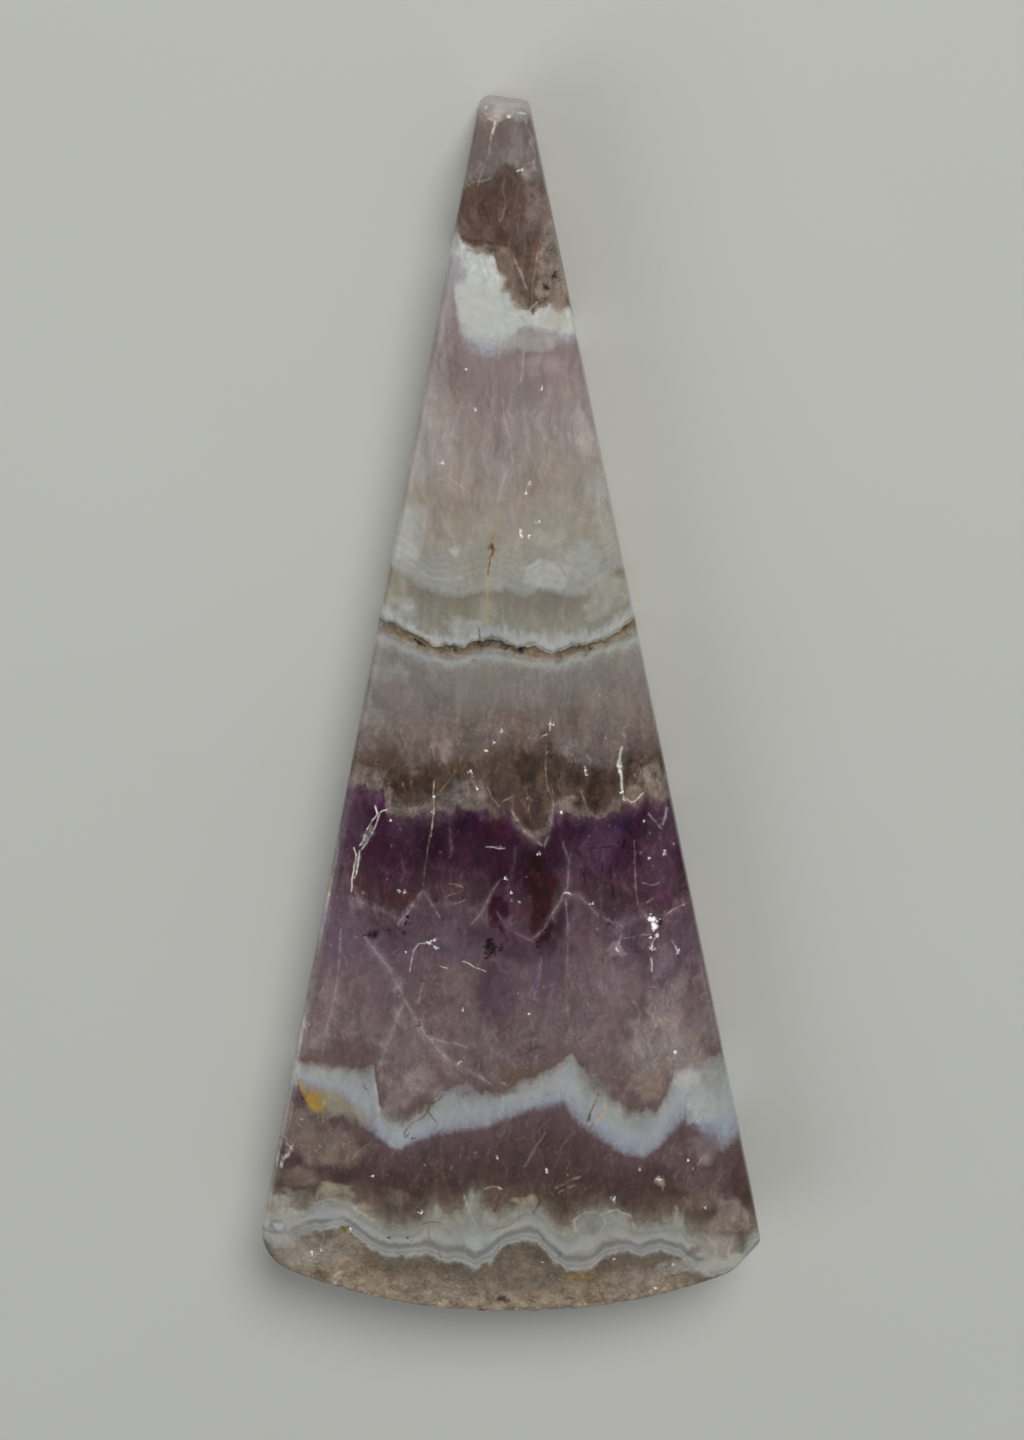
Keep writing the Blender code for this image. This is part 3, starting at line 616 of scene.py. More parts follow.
Line = namedtuple("Line", "points width tone strength veil", defaults=(0,))
WHITE = (196, 192, 182)
PALE = (152, 142, 138)
PALE_PURPLE = (128, 112, 118)
PALE_VIOLET = (122, 106, 112)
GREY_VEIL = (148, 138, 138)
DARK_BROWN = (66, 46, 32)
BLACK = (24, 16, 18)
LINES = (
    # the tip and the brown patch
    Line(((495, 120), (493, 128), (491, 138)), 3.5, WHITE, 1.0),
    Line(((491, 138), (489, 152), (482, 172), (478, 184)), 3, (150, 142, 138), 0.6),
    Line(((484, 112), (489, 118), (495, 121), (505, 119), (512, 116)), 3, (172, 168, 160), 0.5),
    Line(((526, 122), (531, 134), (533, 150), (534, 168)), 3, (154, 148, 145), 0.5),
    Line(((464, 187), (472, 182), (482, 181), (490, 178)), 3, (140, 132, 126), 0.7),
    Line(((458, 233), (463, 238), (472, 240), (489, 243), (508, 245)), 5, (64, 48, 41), 0.9),
    Line(((505, 178), (503, 190), (506, 204), (502, 218)), 3, (118, 105, 94), 0.5),
    Line(((514, 256), (519, 268), (523, 280), (527, 289)), 3.5, (150, 136, 122), 0.8),
    Line(((540, 238), (536, 262), (533, 284), (531, 308)), 3, (128, 112, 98), 0.7),
    Line(((528, 312), (533, 306), (537, 302)), 3, (166, 158, 142), 0.8),
    Line(((524, 330), (524, 345), (523, 363), (521, 380)), 3, (160, 153, 148), 0.7),
    Line(((460, 312), (466, 324), (478, 336), (493, 341), (507, 335)), 6, (160, 163, 162), 0.6),
    Line(((514, 312), (522, 318), (532, 326), (548, 331), (560, 330)), 4, (156, 156, 150), 0.7),
    # mauve and peach
    Line(((503, 400), (505, 420), (510, 440), (512, 462), (506, 480)), 3.5, (158, 150, 144), 0.6),
    Line(
        ((541, 404), (534, 412), (527, 420), (526, 436), (531, 455), (538, 473), (548, 498)),
        4, PALE, 0.7,
    ),
    Line(((486, 392), (492, 404), (496, 420)), 3, PALE, 0.5),
    Line(((455, 388), (462, 404), (452, 432), (449, 452)), 3.5, (150, 142, 140), 0.6),
    Line(((443, 473), (455, 482), (467, 491)), 3, (160, 152, 144), 0.6),
    Line(((436, 500), (444, 520), (452, 536), (460, 556)), 4, (154, 146, 138), 0.6),
    Line(((596, 430), (604, 446), (612, 462)), 3.5, (120, 112, 108), 0.6),
    Line(((572, 398), (586, 412), (596, 430)), 3, (118, 108, 106), 0.6),
    Line(((508, 470), (500, 490), (497, 512), (498, 532)), 4, (162, 152, 138), 0.6),
    Line(((557, 545), (575, 568), (594, 589)), 3, (164, 158, 146), 0.5),
    # arcs in the scallops
    Line(((524, 577), (530, 566), (541, 561), (552, 565), (559, 576)), 5, (170, 170, 163), 0.6),
    Line(
        ((518, 586), (522, 572), (534, 556), (550, 556), (563, 570), (567, 586)),
        4, (134, 133, 126), 0.5,
    ),
    Line(((420, 572), (432, 578), (446, 580), (462, 577)), 5, (162, 163, 158), 0.5),
    Line(((410, 560), (426, 566), (446, 568), (466, 563)), 4, (136, 136, 131), 0.6),
    # the ochre crack over the seam
    Line(
        ((500, 518), (494, 532), (492, 545), (490, 556), (488, 575), (487, 600), (487, 630)),
        3, (166, 148, 114), 0.7, 0.4,
    ),
    Line(
        ((495, 533), (492, 542), (493, 552), (490, 558), (490, 566), (488, 576)),
        4, (132, 86, 36), 0.9,
    ),
    Line(((491, 543), (494, 550), (491, 556)), 4, DARK_BROWN, 0.9),
    Line(((490, 562), (488, 574)), 2.5, DARK_BROWN, 0.7),
    Line(((478, 628), (480, 634), (480, 641)), 3, DARK_BROWN, 0.9),
    # dark spots in the seam
    Line(((415, 640), (421, 645), (425, 647)), 5, (50, 38, 28), 0.9),
    Line(((490, 641), (500, 642), (508, 646)), 3, (52, 42, 32), 0.7),
    Line(((382, 628), (396, 633), (408, 639)), 5, (110, 96, 72), 0.6),
    Line(((530, 653), (550, 656), (566, 655)), 5, (126, 112, 98), 0.7),
    Line(((600, 645), (616, 637), (630, 629)), 5, (118, 110, 90), 0.6),
    # smoke, and the ragged rim of the purple
    Line(
        ((622, 748), (620, 758), (621, 768), (622, 780), (622, 792), (624, 800)),
        3.6, (200, 196, 184), 1.0,
    ),
    Line(((619, 758), (618, 766), (621, 775)), 4.5, (222, 218, 208), 1.0),
    Line(((622, 798), (622, 806), (623, 813)), 2.5, (66, 52, 42), 0.9),
    Line(((627, 799), (632, 802), (637, 799), (642, 794)), 2.5, (190, 180, 165), 0.9),
    # bright streaks of glints, painted highlights on pale flaws
    Line(((585, 767), (585, 771), (588, 777)), 2.6, WHITE, 1.0),
    Line(((551, 718), (550, 724), (550, 730)), 2.4, WHITE, 1.0),
    Line(((546, 735), (543, 736), (540, 738)), 2, WHITE, 0.9),
    Line(((375, 807), (377, 814), (372, 821), (366, 832), (360, 845)), 2.2, (206, 202, 198), 1.0),
    Line(((386, 810), (380, 812), (376, 824), (372, 834), (366, 845), (361, 851)), 2.2, WHITE, 0.9),
    Line(((371, 827), (368, 836), (363, 845)), 4.5, (140, 130, 130), 0.8),
    Line(((354, 847), (356, 855), (355, 864), (352, 876), (352, 891)), 2.2, WHITE, 0.9),
    Line(((360, 851), (359, 862), (357, 871), (354, 878)), 2.4, (204, 200, 196), 1.0),
    Line(((357, 858), (356, 870)), 4, (136, 126, 124), 0.8),
    Line(((434, 782), (433, 796), (434, 808), (432, 822), (431, 836)), 2.2, (176, 158, 140), 0.8),
    Line(((486, 847), (493, 847), (497, 849), (503, 849)), 2, (196, 180, 176), 1.0),
    Line(((488, 788), (492, 798), (499, 806), (505, 800), (513, 796)), 2.5, (126, 112, 104), 0.7),
    Line(((512, 812), (522, 828), (533, 838), (542, 846)), 3, (150, 136, 132), 0.6, 0.4),
    Line(((545, 846), (549, 832), (552, 816), (554, 802), (553, 790)), 3, (132, 118, 110), 0.8, 0.3),
    Line(((546, 745), (546, 766), (547, 786), (554, 803)), 2.2, (134, 120, 108), 0.7),
    Line(((559, 742), (566, 738), (573, 746), (580, 744)), 2, (142, 130, 124), 0.6),
    Line(((566, 752), (575, 756), (583, 752), (590, 760)), 2, (142, 130, 124), 0.6),
    Line(((581, 790), (586, 804), (590, 818)), 2.5, (128, 114, 104), 0.7),
    Line(((588, 812), (596, 818), (606, 816), (612, 806)), 2.5, (120, 106, 98), 0.7),
    Line(((395, 808), (410, 812), (426, 806)), 4, (118, 104, 98), 0.6, 0.3),
    Line(((666, 808), (666, 815), (663, 823)), 3.5, (160, 150, 150), 0.8),
    Line(((649, 814), (652, 819), (656, 822), (662, 829)), 3, (140, 126, 132), 0.7),
    Line(((470, 776), (475, 788), (474, 800)), 2.5, (134, 121, 112), 0.7),
    Line(((455, 770), (450, 780), (441, 790)), 2.5, (126, 113, 104), 0.6),
    Line(((524, 786), (530, 800), (528, 812)), 2.5, (112, 98, 90), 0.6),
    # crystal edges in the purple
    Line(((450, 830), (452, 844), (450, 858)), 4, (96, 78, 86), 0.6, 0.3),
    Line(((430, 830), (428, 848), (425, 866), (423, 890)), 2.4, PALE_VIOLET, 0.8),
    Line(((563, 843), (569, 862), (568, 886), (562, 896)), 3, PALE_VIOLET, 0.8, 0.3),
    Line(((350, 907), (366, 905), (385, 912), (398, 918)), 4, PALE_VIOLET, 0.4, 0.6),
    Line(((423, 890), (417, 898), (410, 910), (398, 924)), 3, PALE_PURPLE, 0.8, 0.4),
    Line(((423, 890), (429, 899), (434, 908), (439, 916)), 2.6, (140, 125, 130), 0.8, 0.3),
    Line(((500, 880), (492, 892), (486, 904), (481, 914), (473, 923)), 2.6, PALE_PURPLE, 0.8, 0.3),
    Line(((497, 912), (506, 926), (518, 934), (530, 940)), 3, PALE_VIOLET, 0.5, 0.3),
    Line(((530, 940), (544, 930), (552, 914), (562, 899)), 3.5, PALE_PURPLE, 0.6, 0.35),
    Line(((566, 894), (579, 895), (587, 904), (596, 913), (612, 922)), 3.5, PALE_PURPLE, 0.6, 0.4),
    Line(((564, 893), (568, 892), (571, 894)), 2, (214, 206, 204), 0.9),
    Line(((612, 922), (624, 926), (634, 918), (648, 916)), 4, PALE_VIOLET, 0.5, 0.6),
    Line(((634, 840), (635, 862), (635, 880), (638, 905)), 2.4, (112, 94, 96), 0.8),
    Line(((400, 852), (404, 872), (400, 886)), 3, (92, 72, 80), 0.6, 0.3),
    Line(((448, 884), (456, 885), (462, 887)), 2, (140, 124, 128), 0.7),
    Line(((449, 896), (456, 893), (463, 890)), 2, (136, 120, 124), 0.7),
    Line(((450, 904), (458, 903), (464, 901)), 2, (136, 120, 124), 0.7),
    Line(((516, 846), (514, 866), (508, 886)), 3, (92, 70, 80), 0.6, 0.3),
    Line(((591, 848), (602, 847), (612, 846)), 2.4, (38, 20, 34), 1.0),
    Line(((602, 862), (603, 872)), 3, (44, 26, 36), 0.8),
    Line(((610, 868), (611, 880), (614, 896)), 4, (42, 24, 30), 0.8),
    Line(((584, 872), (585, 882)), 4, (40, 22, 32), 0.9),
    Line(((598, 880), (602, 896), (600, 910)), 3, (92, 74, 80), 0.6, 0.3),
    Line(((645, 883), (652, 885), (658, 883)), 2.4, (132, 115, 124), 0.8),
    Line(((647, 902), (651, 900), (655, 897)), 2.2, (132, 115, 124), 0.8),
    Line(((643, 911), (647, 909), (651, 906)), 2.2, (132, 115, 124), 0.7),
    # the glint at the right, a painted highlight on a pale flaw, and its cracks
    Line(((650, 917), (652, 922), (655, 928)), 7, (246, 244, 242), 1.0),
    Line(((660, 916), (662, 922), (659, 928)), 4, (38, 22, 34), 0.9),
    Line(((658, 931), (656, 936), (653, 941), (651, 949)), 3, (212, 202, 196), 1.0),
    Line(((651, 959), (652, 964), (652, 971)), 2.6, WHITE, 0.9),
    Line(((662, 919), (668, 913), (676, 908), (683, 905)), 2, (156, 142, 150), 0.8),
    Line(((672, 941), (676, 948), (679, 953)), 2.8, (200, 190, 192), 0.9),
    Line(((658, 945), (661, 949), (664, 948)), 2, (150, 136, 142), 0.7),
    Line(((625, 938), (638, 936), (650, 934)), 2, (140, 124, 132), 0.7),
    Line(((621, 935), (618, 945), (614, 948)), 3, (150, 136, 144), 0.7),
    # small glints on the left, painted highlights on pale flaws
    Line(
        ((410, 971), (412, 960), (414, 950), (419, 944), (428, 942), (435, 946)),
        2, (172, 162, 162), 0.9,
    ),
    # short bright flaws painted as highlights
    Line(((462, 962), (469, 963), (475, 967)), 1.8, WHITE, 0.9),
    Line(((478, 968), (485, 971)), 1.8, WHITE, 0.9),
    Line(((440, 966), (446, 968)), 1.8, (190, 170, 160), 0.8),
    # lilac
    Line(((364, 936), (376, 952), (388, 966), (394, 980), (402, 992)), 5, GREY_VEIL, 0.6, 0.4),
    Line(((404, 1000), (396, 1020), (387, 1046), (377, 1070)), 6, GREY_VEIL, 0.6, 0.4),
    Line(
        ((402, 996), (416, 1020), (432, 1042), (446, 1058), (468, 1070), (492, 1084)),
        4, GREY_VEIL, 0.6, 0.4,
    ),
    Line(((425, 976), (421, 992), (418, 1004)), 4, (136, 124, 126), 0.6),
    Line(((427, 1036), (442, 1042), (456, 1044), (468, 1048)), 4, (150, 138, 136), 0.6, 0.3),
    Line(((341, 930), (340, 950), (337, 986), (328, 1026), (322, 1054)), 3, (138, 124, 128), 0.7, 0.3),
    Line(((566, 900), (568, 940), (566, 985), (569, 1033)), 3, (126, 111, 116), 0.6, 0.3),
    Line(((541, 958), (540, 976), (534, 996)), 3, (122, 108, 120), 0.6, 0.3),
    Line(((532, 1020), (534, 1036), (531, 1054)), 4, (126, 112, 112), 0.5),
    Line(((514, 990), (518, 1010), (514, 1030)), 3, (108, 92, 100), 0.5),
    Line(((470, 976), (466, 996), (474, 1020)), 3, (118, 104, 108), 0.4),
    Line(
        ((634, 1002), (640, 1012), (636, 1032), (632, 1060), (635, 1076)),
        3, (140, 128, 124), 0.6, 0.3,
    ),
    Line(((645, 1008), (652, 1016), (656, 1026)), 3, (150, 138, 132), 0.6, 0.3),
    Line(((700, 960), (708, 1000), (716, 1040)), 3, (132, 120, 120), 0.5, 0.3),
    # a glint, painted as a highlight
    Line(((675, 1050), (675, 1055)), 3, WHITE, 0.9),
    Line(((649, 986), (656, 987)), 2.5, (156, 144, 144), 0.7),
    Line(((301, 1024), (305, 1027), (310, 1023)), 4, (150, 142, 136), 0.7),
    Line(((323, 988), (320, 996)), 3.5, (150, 140, 142), 0.6),
    Line(((502, 1082), (508, 1086), (512, 1082)), 3, (146, 124, 104), 0.7),
    # the chevrons' veins and stains
    Line(((598, 1095), (593, 1108), (587, 1121)), 3, (112, 84, 58), 0.9),
    Line(((591, 1114), (588, 1121)), 4, (66, 42, 30), 0.8),
    Line(((604, 1106), (596, 1120), (588, 1132)), 3, (122, 98, 72), 0.9),
    Line(((606, 1098), (603, 1112), (594, 1124)), 8, (168, 158, 138), 0.6),
    Line(((404, 1133), (412, 1124), (424, 1116), (433, 1104), (441, 1097)), 3, (84, 72, 64), 0.8),
    Line(((427, 1110), (431, 1116), (436, 1122)), 3, (78, 72, 70), 0.8),
    Line(((404, 1133), (405, 1138), (408, 1134)), 3, (88, 76, 68), 0.7),
    Line(((374, 1078), (376, 1096), (379, 1112)), 5, (164, 164, 160), 0.7),
    Line(((361, 1077), (364, 1084), (366, 1090)), 4, (116, 116, 112), 0.6),
    Line(((530, 1098), (534, 1100)), 5, (116, 116, 116), 0.5),
    Line(((546, 1092), (549, 1095)), 4, (112, 112, 112), 0.5),
    Line(((295, 1072), (299, 1083), (302, 1097)), 2.2, (92, 68, 30), 1.0),
    Line(((295, 1063), (297, 1068), (301, 1076)), 5, (164, 160, 150), 0.6),
    # the chip: its pale broken surface with a painted highlight, and a painted shadow along its left side
    Line(((283, 1134), (288, 1144), (291, 1148)), 3, (168, 160, 156), 0.8),
    Line(((292, 1146), (288, 1154), (283, 1160), (280, 1168)), 5, (186, 180, 174), 0.9),
    # a painted shadow beside the chip
    Line(((280, 1150), (279, 1158), (277, 1166)), 3, (74, 70, 66), 0.8),
    # needles under the chevrons
    Line(((525, 1166), (536, 1146), (546, 1132)), 3.5, (112, 96, 96), 0.7),
    Line(((556, 1166), (562, 1146), (574, 1132)), 3.5, (108, 92, 92), 0.6),
    Line(((496, 1146), (504, 1132), (508, 1120)), 3, (108, 92, 94), 0.6),
    Line(((352, 1160), (362, 1148), (372, 1142)), 3.5, (126, 112, 104), 0.6),
    Line(((556, 1188), (566, 1182), (580, 1177)), 4, (146, 130, 120), 0.8),
    Line(((560, 1192), (572, 1186)), 3, (136, 120, 110), 0.7),
    Line(((484, 1190), (492, 1186), (500, 1188)), 3, (142, 126, 112), 0.7),
    Line(((658, 1176), (662, 1184), (664, 1190)), 4, (160, 146, 130), 0.7),
    Line(((611, 1197), (616, 1203)), 5, (146, 138, 136), 0.8),
    Line(((430, 1188), (426, 1202), (418, 1210)), 4, (58, 46, 36), 0.7),
    Line(((500, 1196), (498, 1204), (494, 1212)), 5, (64, 48, 42), 0.8),
    # the lace
    Line(((314, 1204), (331, 1199), (348, 1202), (360, 1212), (373, 1220)), 5, (162, 163, 158), 0.6),
    Line(((464, 1196), (470, 1212), (476, 1226)), 4, (168, 168, 160), 0.6),
    Line(
        ((576, 1232), (574, 1220), (584, 1213), (598, 1212), (606, 1222), (600, 1234), (590, 1242)),
        4, (160, 160, 152), 0.7,
    ),
    Line(((602, 1214), (616, 1210), (630, 1216), (634, 1228)), 4, (160, 160, 152), 0.7),
    Line(((421, 1224), (430, 1222), (440, 1223)), 3.5, (110, 94, 70), 0.8),
    Line(((428, 1226), (429, 1238), (436, 1246), (441, 1258)), 4, (122, 106, 78), 0.7),
    Line(((532, 1212), (522, 1215), (510, 1225), (494, 1230)), 4, (126, 104, 66), 0.7),
    Line(((541, 1200), (538, 1206), (534, 1213)), 4, (84, 62, 38), 0.9),
    # the bands that curl round the right corner
    Line(
        ((705, 1235), (718, 1248), (712, 1261), (724, 1265), (741, 1258), (754, 1245), (758, 1236)),
        5, (158, 158, 152), 0.7,
    ),
    Line(
        ((690, 1258), (698, 1269), (711, 1276), (727, 1272), (744, 1264), (756, 1249)),
        7, (154, 155, 150), 0.7,
    ),
    # the base
    Line(((332, 1288), (338, 1282), (335, 1275), (340, 1272)), 4, (160, 146, 130), 0.7),
    Line(((343, 1226), (346, 1232), (352, 1234)), 4, (96, 74, 34), 0.8),
    Line(((630, 1300), (645, 1294), (657, 1288)), 3, (168, 160, 144), 0.7),
)

# Small bright flaws painted as highlights that flash in the lamp light: place and radius
PAINTED_GLINTS = (
    (521, 170, 1.6), (530, 106, 1.6), (487, 108, 1.6), (509, 117, 1.6), (466, 369, 1.1),
    (476, 410, 1.1), (541, 389, 1.4), (526, 493, 2), (529, 484, 1.5), (521, 535, 3), (529, 536, 2),
    (539, 522, 1.6), (443, 463, 1.2), (551, 725, 2.2), (502, 732, 1.2), (494, 742, 1.0),
    (486, 751, 1.3), (471, 771, 2.2), (477, 789, 2), (434, 796, 1.6), (432, 811, 1.5), (391, 820, 1.3),
    (538, 854, 1.8), (505, 879, 1.2), (511, 893, 1.1), (519, 902, 1), (592, 904, 1.2), (399, 891, 1.6),
    (404, 892, 1.4), (665, 851, 1.6), (649, 858, 1.3), (644, 821, 1.3), (431, 941, 3.6),
    (434, 947, 2.4), (406, 952, 1.4), (654, 919, 5), (655, 928, 4), (656, 935, 3), (651, 948, 2.4),
    (678, 952, 2.2), (617, 950, 2.6), (561, 812, 1.6), (585, 770, 1.8), (587, 775, 1.6),
    (620, 767, 2.6), (622, 792, 2), (463, 1010, 1.6), (529, 1014, 1.4), (675, 1052, 2.4),
    (459, 1063, 1.5), (373, 1176, 1.7), (547, 1172, 1.8), (497, 1158, 1.2), (421, 1213, 1.8),
    (351, 1229, 2), (500, 1188, 1.5), (614, 1199, 2), (660, 1180, 1.7), (640, 1170, 1.3),
    (688, 1160, 1.3), (705, 1208, 1.3), (655, 1288, 2.2), (673, 1264, 1.6), (614, 1259, 1.5),
    (543, 1262, 1.5), (321, 1250, 1.3), (312, 1252, 1.3),
)
# the tone of the painted highlights
PAINTED_GLINT_TONE = (244, 242, 236)

# Clusters of black specks
SPECKS = (
    (372, 935, 6), (408, 923, 5.5), (404, 933, 3), (390, 930, 2), (490, 941, 6), (491, 953, 7),
    (499, 948, 4.5), (508, 940, 2), (459, 929, 2), (537, 946, 3.5), (546, 930, 3), (542, 917, 3.5),
    (625, 843, 5.5), (630, 849, 3), (362, 792, 2), (418, 642, 3.5), (454, 650, 4), (479, 643, 3.5),
    (590, 649, 3.5), (389, 1237, 2.6), (408, 1237, 3), (420, 1024, 2.6), (428, 1033, 2.4),
    (424, 981, 2.2), (302, 1098, 1.5), (365, 1088, 2), (376, 762, 1.8), (613, 896, 3), (412, 1138, 2),
    (560, 1254, 1.8),
)

# How the bands run. A colour ramp holds 32 tones at most, so there are four, by the bands they start with
TIP_END = 28.4
BASE_END = -28.3
SEAM_BAND = [band.name for band in BANDS].index("seam")
RAMP_FIRST_BANDS = (0, 7, 14, 19)
THINNEST_BAND = 0.01
THINNEST_BASE = 0.2
TOOTH_LENGTH = 4
BAND_DIP = 0.3
CRINKLE = 0.06
CRINKLES_PER_MM = (2.4, 1.6)

# How the marks spread: shares of a patch's half size, a line's width or length, or a spot's radius
PATCH_REACH = 1.8
PATCH_EDGE = 0.9
PATCH_WAVES = 0.42
PATCH_LUMPS = 1.3
LINE_SPREAD = 0.42
LINE_EDGE = 1.3
LINE_TAPER = (-0.15, 0.25)
VEIL_SPREAD = 1.6
FLAKES_REACH = 2.5
FINE_MESH_REACH = 1.5
FLAKE_SCATTER = 0.6
FLAKE_SIZES = (0.1, 0.42)
FLAKE_EDGE = 1.6

# How uneven the marks are, in millimetres, lumps for each millimetre, or shares of their strength
FAINTEST = 0.2
LINE_WAVES = 0.03
LINE_WAVES_PER_MM = 4
LINE_BREAKS_PER_MM = 5
FLAKES = 7
FLAKE_STRENGTHS = (0.7, 1)
SMALLEST_FLAKE = 0.4 * FLAKE_STEP

# The table that all noise is read from
NOISE_CELLS = 256
NOISE_TABLE = np.random.default_rng(7).uniform(-1, 1, (NOISE_CELLS, NOISE_CELLS))
SEED_SHIFT = (37.3, 91.7)
OCTAVE_SHARE = 0.55


# The photograph's view


def face_height(x, y):
    """Height of the polished face in millimetres: a low dome, as steep at the tip as at the base."""
    half_width = (right_side(y) - left_side(y)) / 2
    across = (x - (right_side(y) + left_side(y)) / 2) / half_width
    from_base = np.clip((y - base_arc(x)) / BASE_RUN, 0, 1)
    from_tip = np.clip((TIP_LEFT.y - y) / TIP_RUN, 0, 1)
    rise = CROWN * half_width / right_side(-LENGTH / 2)
    slopes = (across**2, (1 - from_base) ** 2, (1 - from_tip) ** 2)
    return GIRDLE + rise * math.prod(1 - np.minimum(1, slope) for slope in slopes)


def on_face(pixels):
    """Where lines of sight through pixels of the photograph meet the face: x and y in millimetres."""
    pixels = np.asarray(pixels, float)
    ray = CAMERA_UP * ((FRAME_HIGH / 2 - pixels[:, 1:]) / FOCAL) - CAMERA_BACK
    ray[:, 0] += (pixels[:, 0] - FRAME_WIDE / 2) / FOCAL
    height = np.full(len(pixels), float(GIRDLE))
    for _ in range(SIGHT_ROUNDS):
        places = CAMERA_PLACE + ray * ((height - CAMERA_PLACE[2]) / ray[:, 2])[:, None]
        height = face_height(places[:, 0], places[:, 1])
    return places[:, :2]


# The plan


def left_side(y):
    return TIP_LEFT.x - SIDE_LEAN_LEFT * (TIP_LEFT.y - y)


def right_side(y):
    return TIP_RIGHT.x + SIDE_LEAN_RIGHT * (TIP_RIGHT.y - y)


def base_arc(x):
    return BASE_RADIUS - LENGTH / 2 - np.sqrt(BASE_RADIUS**2 - np.minimum(np.square(x), BASE_RADIUS**2))


def base_corner(side):
    """Where a side, run on in a straight line, meets the base arc."""
    y = -LENGTH / 2
    for _ in range(CORNER_ROUNDS):
        y = base_arc(side(y))
    return Vector((side(y), y))


def rounded(before, corner, after, radius):
    """Points of the arc that rounds a corner of the plan."""
    towards_before = (before - corner).normalized()
    towards_after = (after - corner).normalized()
    half_angle = towards_before.angle(towards_after) / 2
    centre = corner + (towards_before + towards_after).normalized() * radius / math.sin(half_angle)
    reach = radius / math.tan(half_angle)
    start = corner + towards_before * reach - centre
    end = corner + towards_after * reach - centre
    shares = [step / ROUND_SEGMENTS for step in range(ROUND_SEGMENTS + 1)]
    return [centre + start.slerp(end, share) * radius for share in shares]


def crumbled(point):
    """A point of the base arc moved in a little, where the rim is rough."""
    fade = min(point.x - RIM_ROUGH_FROM, RIM_ROUGH_TO - point.x) / RIM_END_FADE
    fade = max(0.0, min(1.0, fade))
    lump = noise.noise(Vector((point.x * RIM_LUMPS_PER_MM, 0, 0)))
    return point + Vector((0, RIM_ROUGHNESS * fade * abs(lump)))


def outline():
    """The plan's points, anticlockwise from the tip's left corner, evenly spaced."""
    left_base = base_corner(left_side)
    cut_start = Vector((right_side(CUT_START_Y), CUT_START_Y))
    cut_end = Vector((CUT_END_X, base_arc(CUT_END_X)))
    arc_x = np.arange(left_base.x + BASE_LEFT_ROUND, CUT_END_X - CUT_END_ROUND / 2, FACE_STEP)
    arc = [Vector((x, base_arc(x))) for x in arc_x]

    corners = rounded(TIP_RIGHT, TIP_LEFT, left_base, TIP_LEFT_ROUND)
    corners += rounded(TIP_LEFT, left_base, arc[0], BASE_LEFT_ROUND)
    corners += [crumbled(point) for point in arc]
    corners += rounded(arc[-1], cut_end, cut_start, CUT_END_ROUND)
    corners += rounded(cut_end, cut_start, TIP_RIGHT, CUT_START_ROUND)
    corners += rounded(cut_start, TIP_RIGHT, TIP_LEFT, TIP_RIGHT_ROUND)
    return evenly_spaced(np.array(corners), FACE_STEP, closed=True)


def evenly_spaced(points, step, closed=False):
    """Points about a step apart on the line through the given points."""
    if closed:
        points = np.vstack((points, points[:1]))
    travelled = np.append(0, np.cumsum(np.hypot(*np.diff(points, axis=0).T)))
    count = max(2, round(travelled[-1] / step) + 1)
    places = np.linspace(0, travelled[-1], count)
    spaced = np.stack([np.interp(places, travelled, points[:, axis]) for axis in (0, 1)], axis=1)
    return spaced[:-1] if closed else spaced


def outward_normals(points):
    along = np.roll(points, -1, axis=0) - np.roll(points, 1, axis=0)
    normals = np.stack((along[:, 1], -along[:, 0]), axis=1)
    return normals / np.hypot(*normals.T)[:, None]


# Noise


def lumps(x, y, seed=0):
    """Smooth noise between -1 and 1, with lumps about one unit across."""
    x = x + SEED_SHIFT[0] * seed
    y = y + SEED_SHIFT[1] * seed
    column = np.floor(x).astype(int)
    row = np.floor(y).astype(int)
    across = x - column
    along = y - row
    across = across * across * (3 - 2 * across)
    along = along * along * (3 - 2 * along)
    low, high = (
        NOISE_TABLE[(row + up) % NOISE_CELLS, column % NOISE_CELLS] * (1 - across)
        + NOISE_TABLE[(row + up) % NOISE_CELLS, (column + 1) % NOISE_CELLS] * across
        for up in (0, 1)
    )
    return low * (1 - along) + high * along


def ragged(x, y, seed=0, octaves=3):
    """Lumps with finer and fainter lumps on them."""
    total = 0
    for octave in range(octaves):
        finer = 2**octave
        total = total + OCTAVE_SHARE**octave * lumps(x * finer, y * finer, seed + octave)
    return total


def smooth_step(low, high, value):
    """0 up to low and 1 from high on, with a smooth rise between them."""
    share = np.clip((value - low) / (high - low), 0, 1)
    return share * share * (3 - 2 * share)


# Bands


def band_tops(x, y):
    """Each band's upper line at places of the stone, and the base's end last."""
    tops = [np.full(len(x), TIP_END)]
    for number, band in enumerate(BANDS[1:]):
        line = on_face(band.top)
        top = np.interp(x, line[:, 0], line[:, 1])
        teeth = ragged(x / band.tooth_width, y / (TOOTH_LENGTH * band.tooth_width), seed=number)
        tops.append(np.minimum(top + band.teeth * teeth, tops[-1] - THINNEST_BAND))
    tops.append(np.minimum(BASE_END, tops[-1] - THINNEST_BASE))
    return tops


def growth_at(tops, y):
    """How many bands lie between the tip and a place: 3.25 is a quarter into the fourth band."""
    growth = np.zeros(len(y))
    for upper, lower in zip(tops, tops[1:]):
        growth += np.clip((upper - y) / (upper - lower), 0, 1)
    return growth


def band_trait(growth, trait):
    """A trait of the bands at each place, fading from one band to the next."""
    middles = np.arange(len(BANDS)) + 0.5
    return np.interp(growth, middles, [getattr(band, trait) for band in BANDS])


# Marks


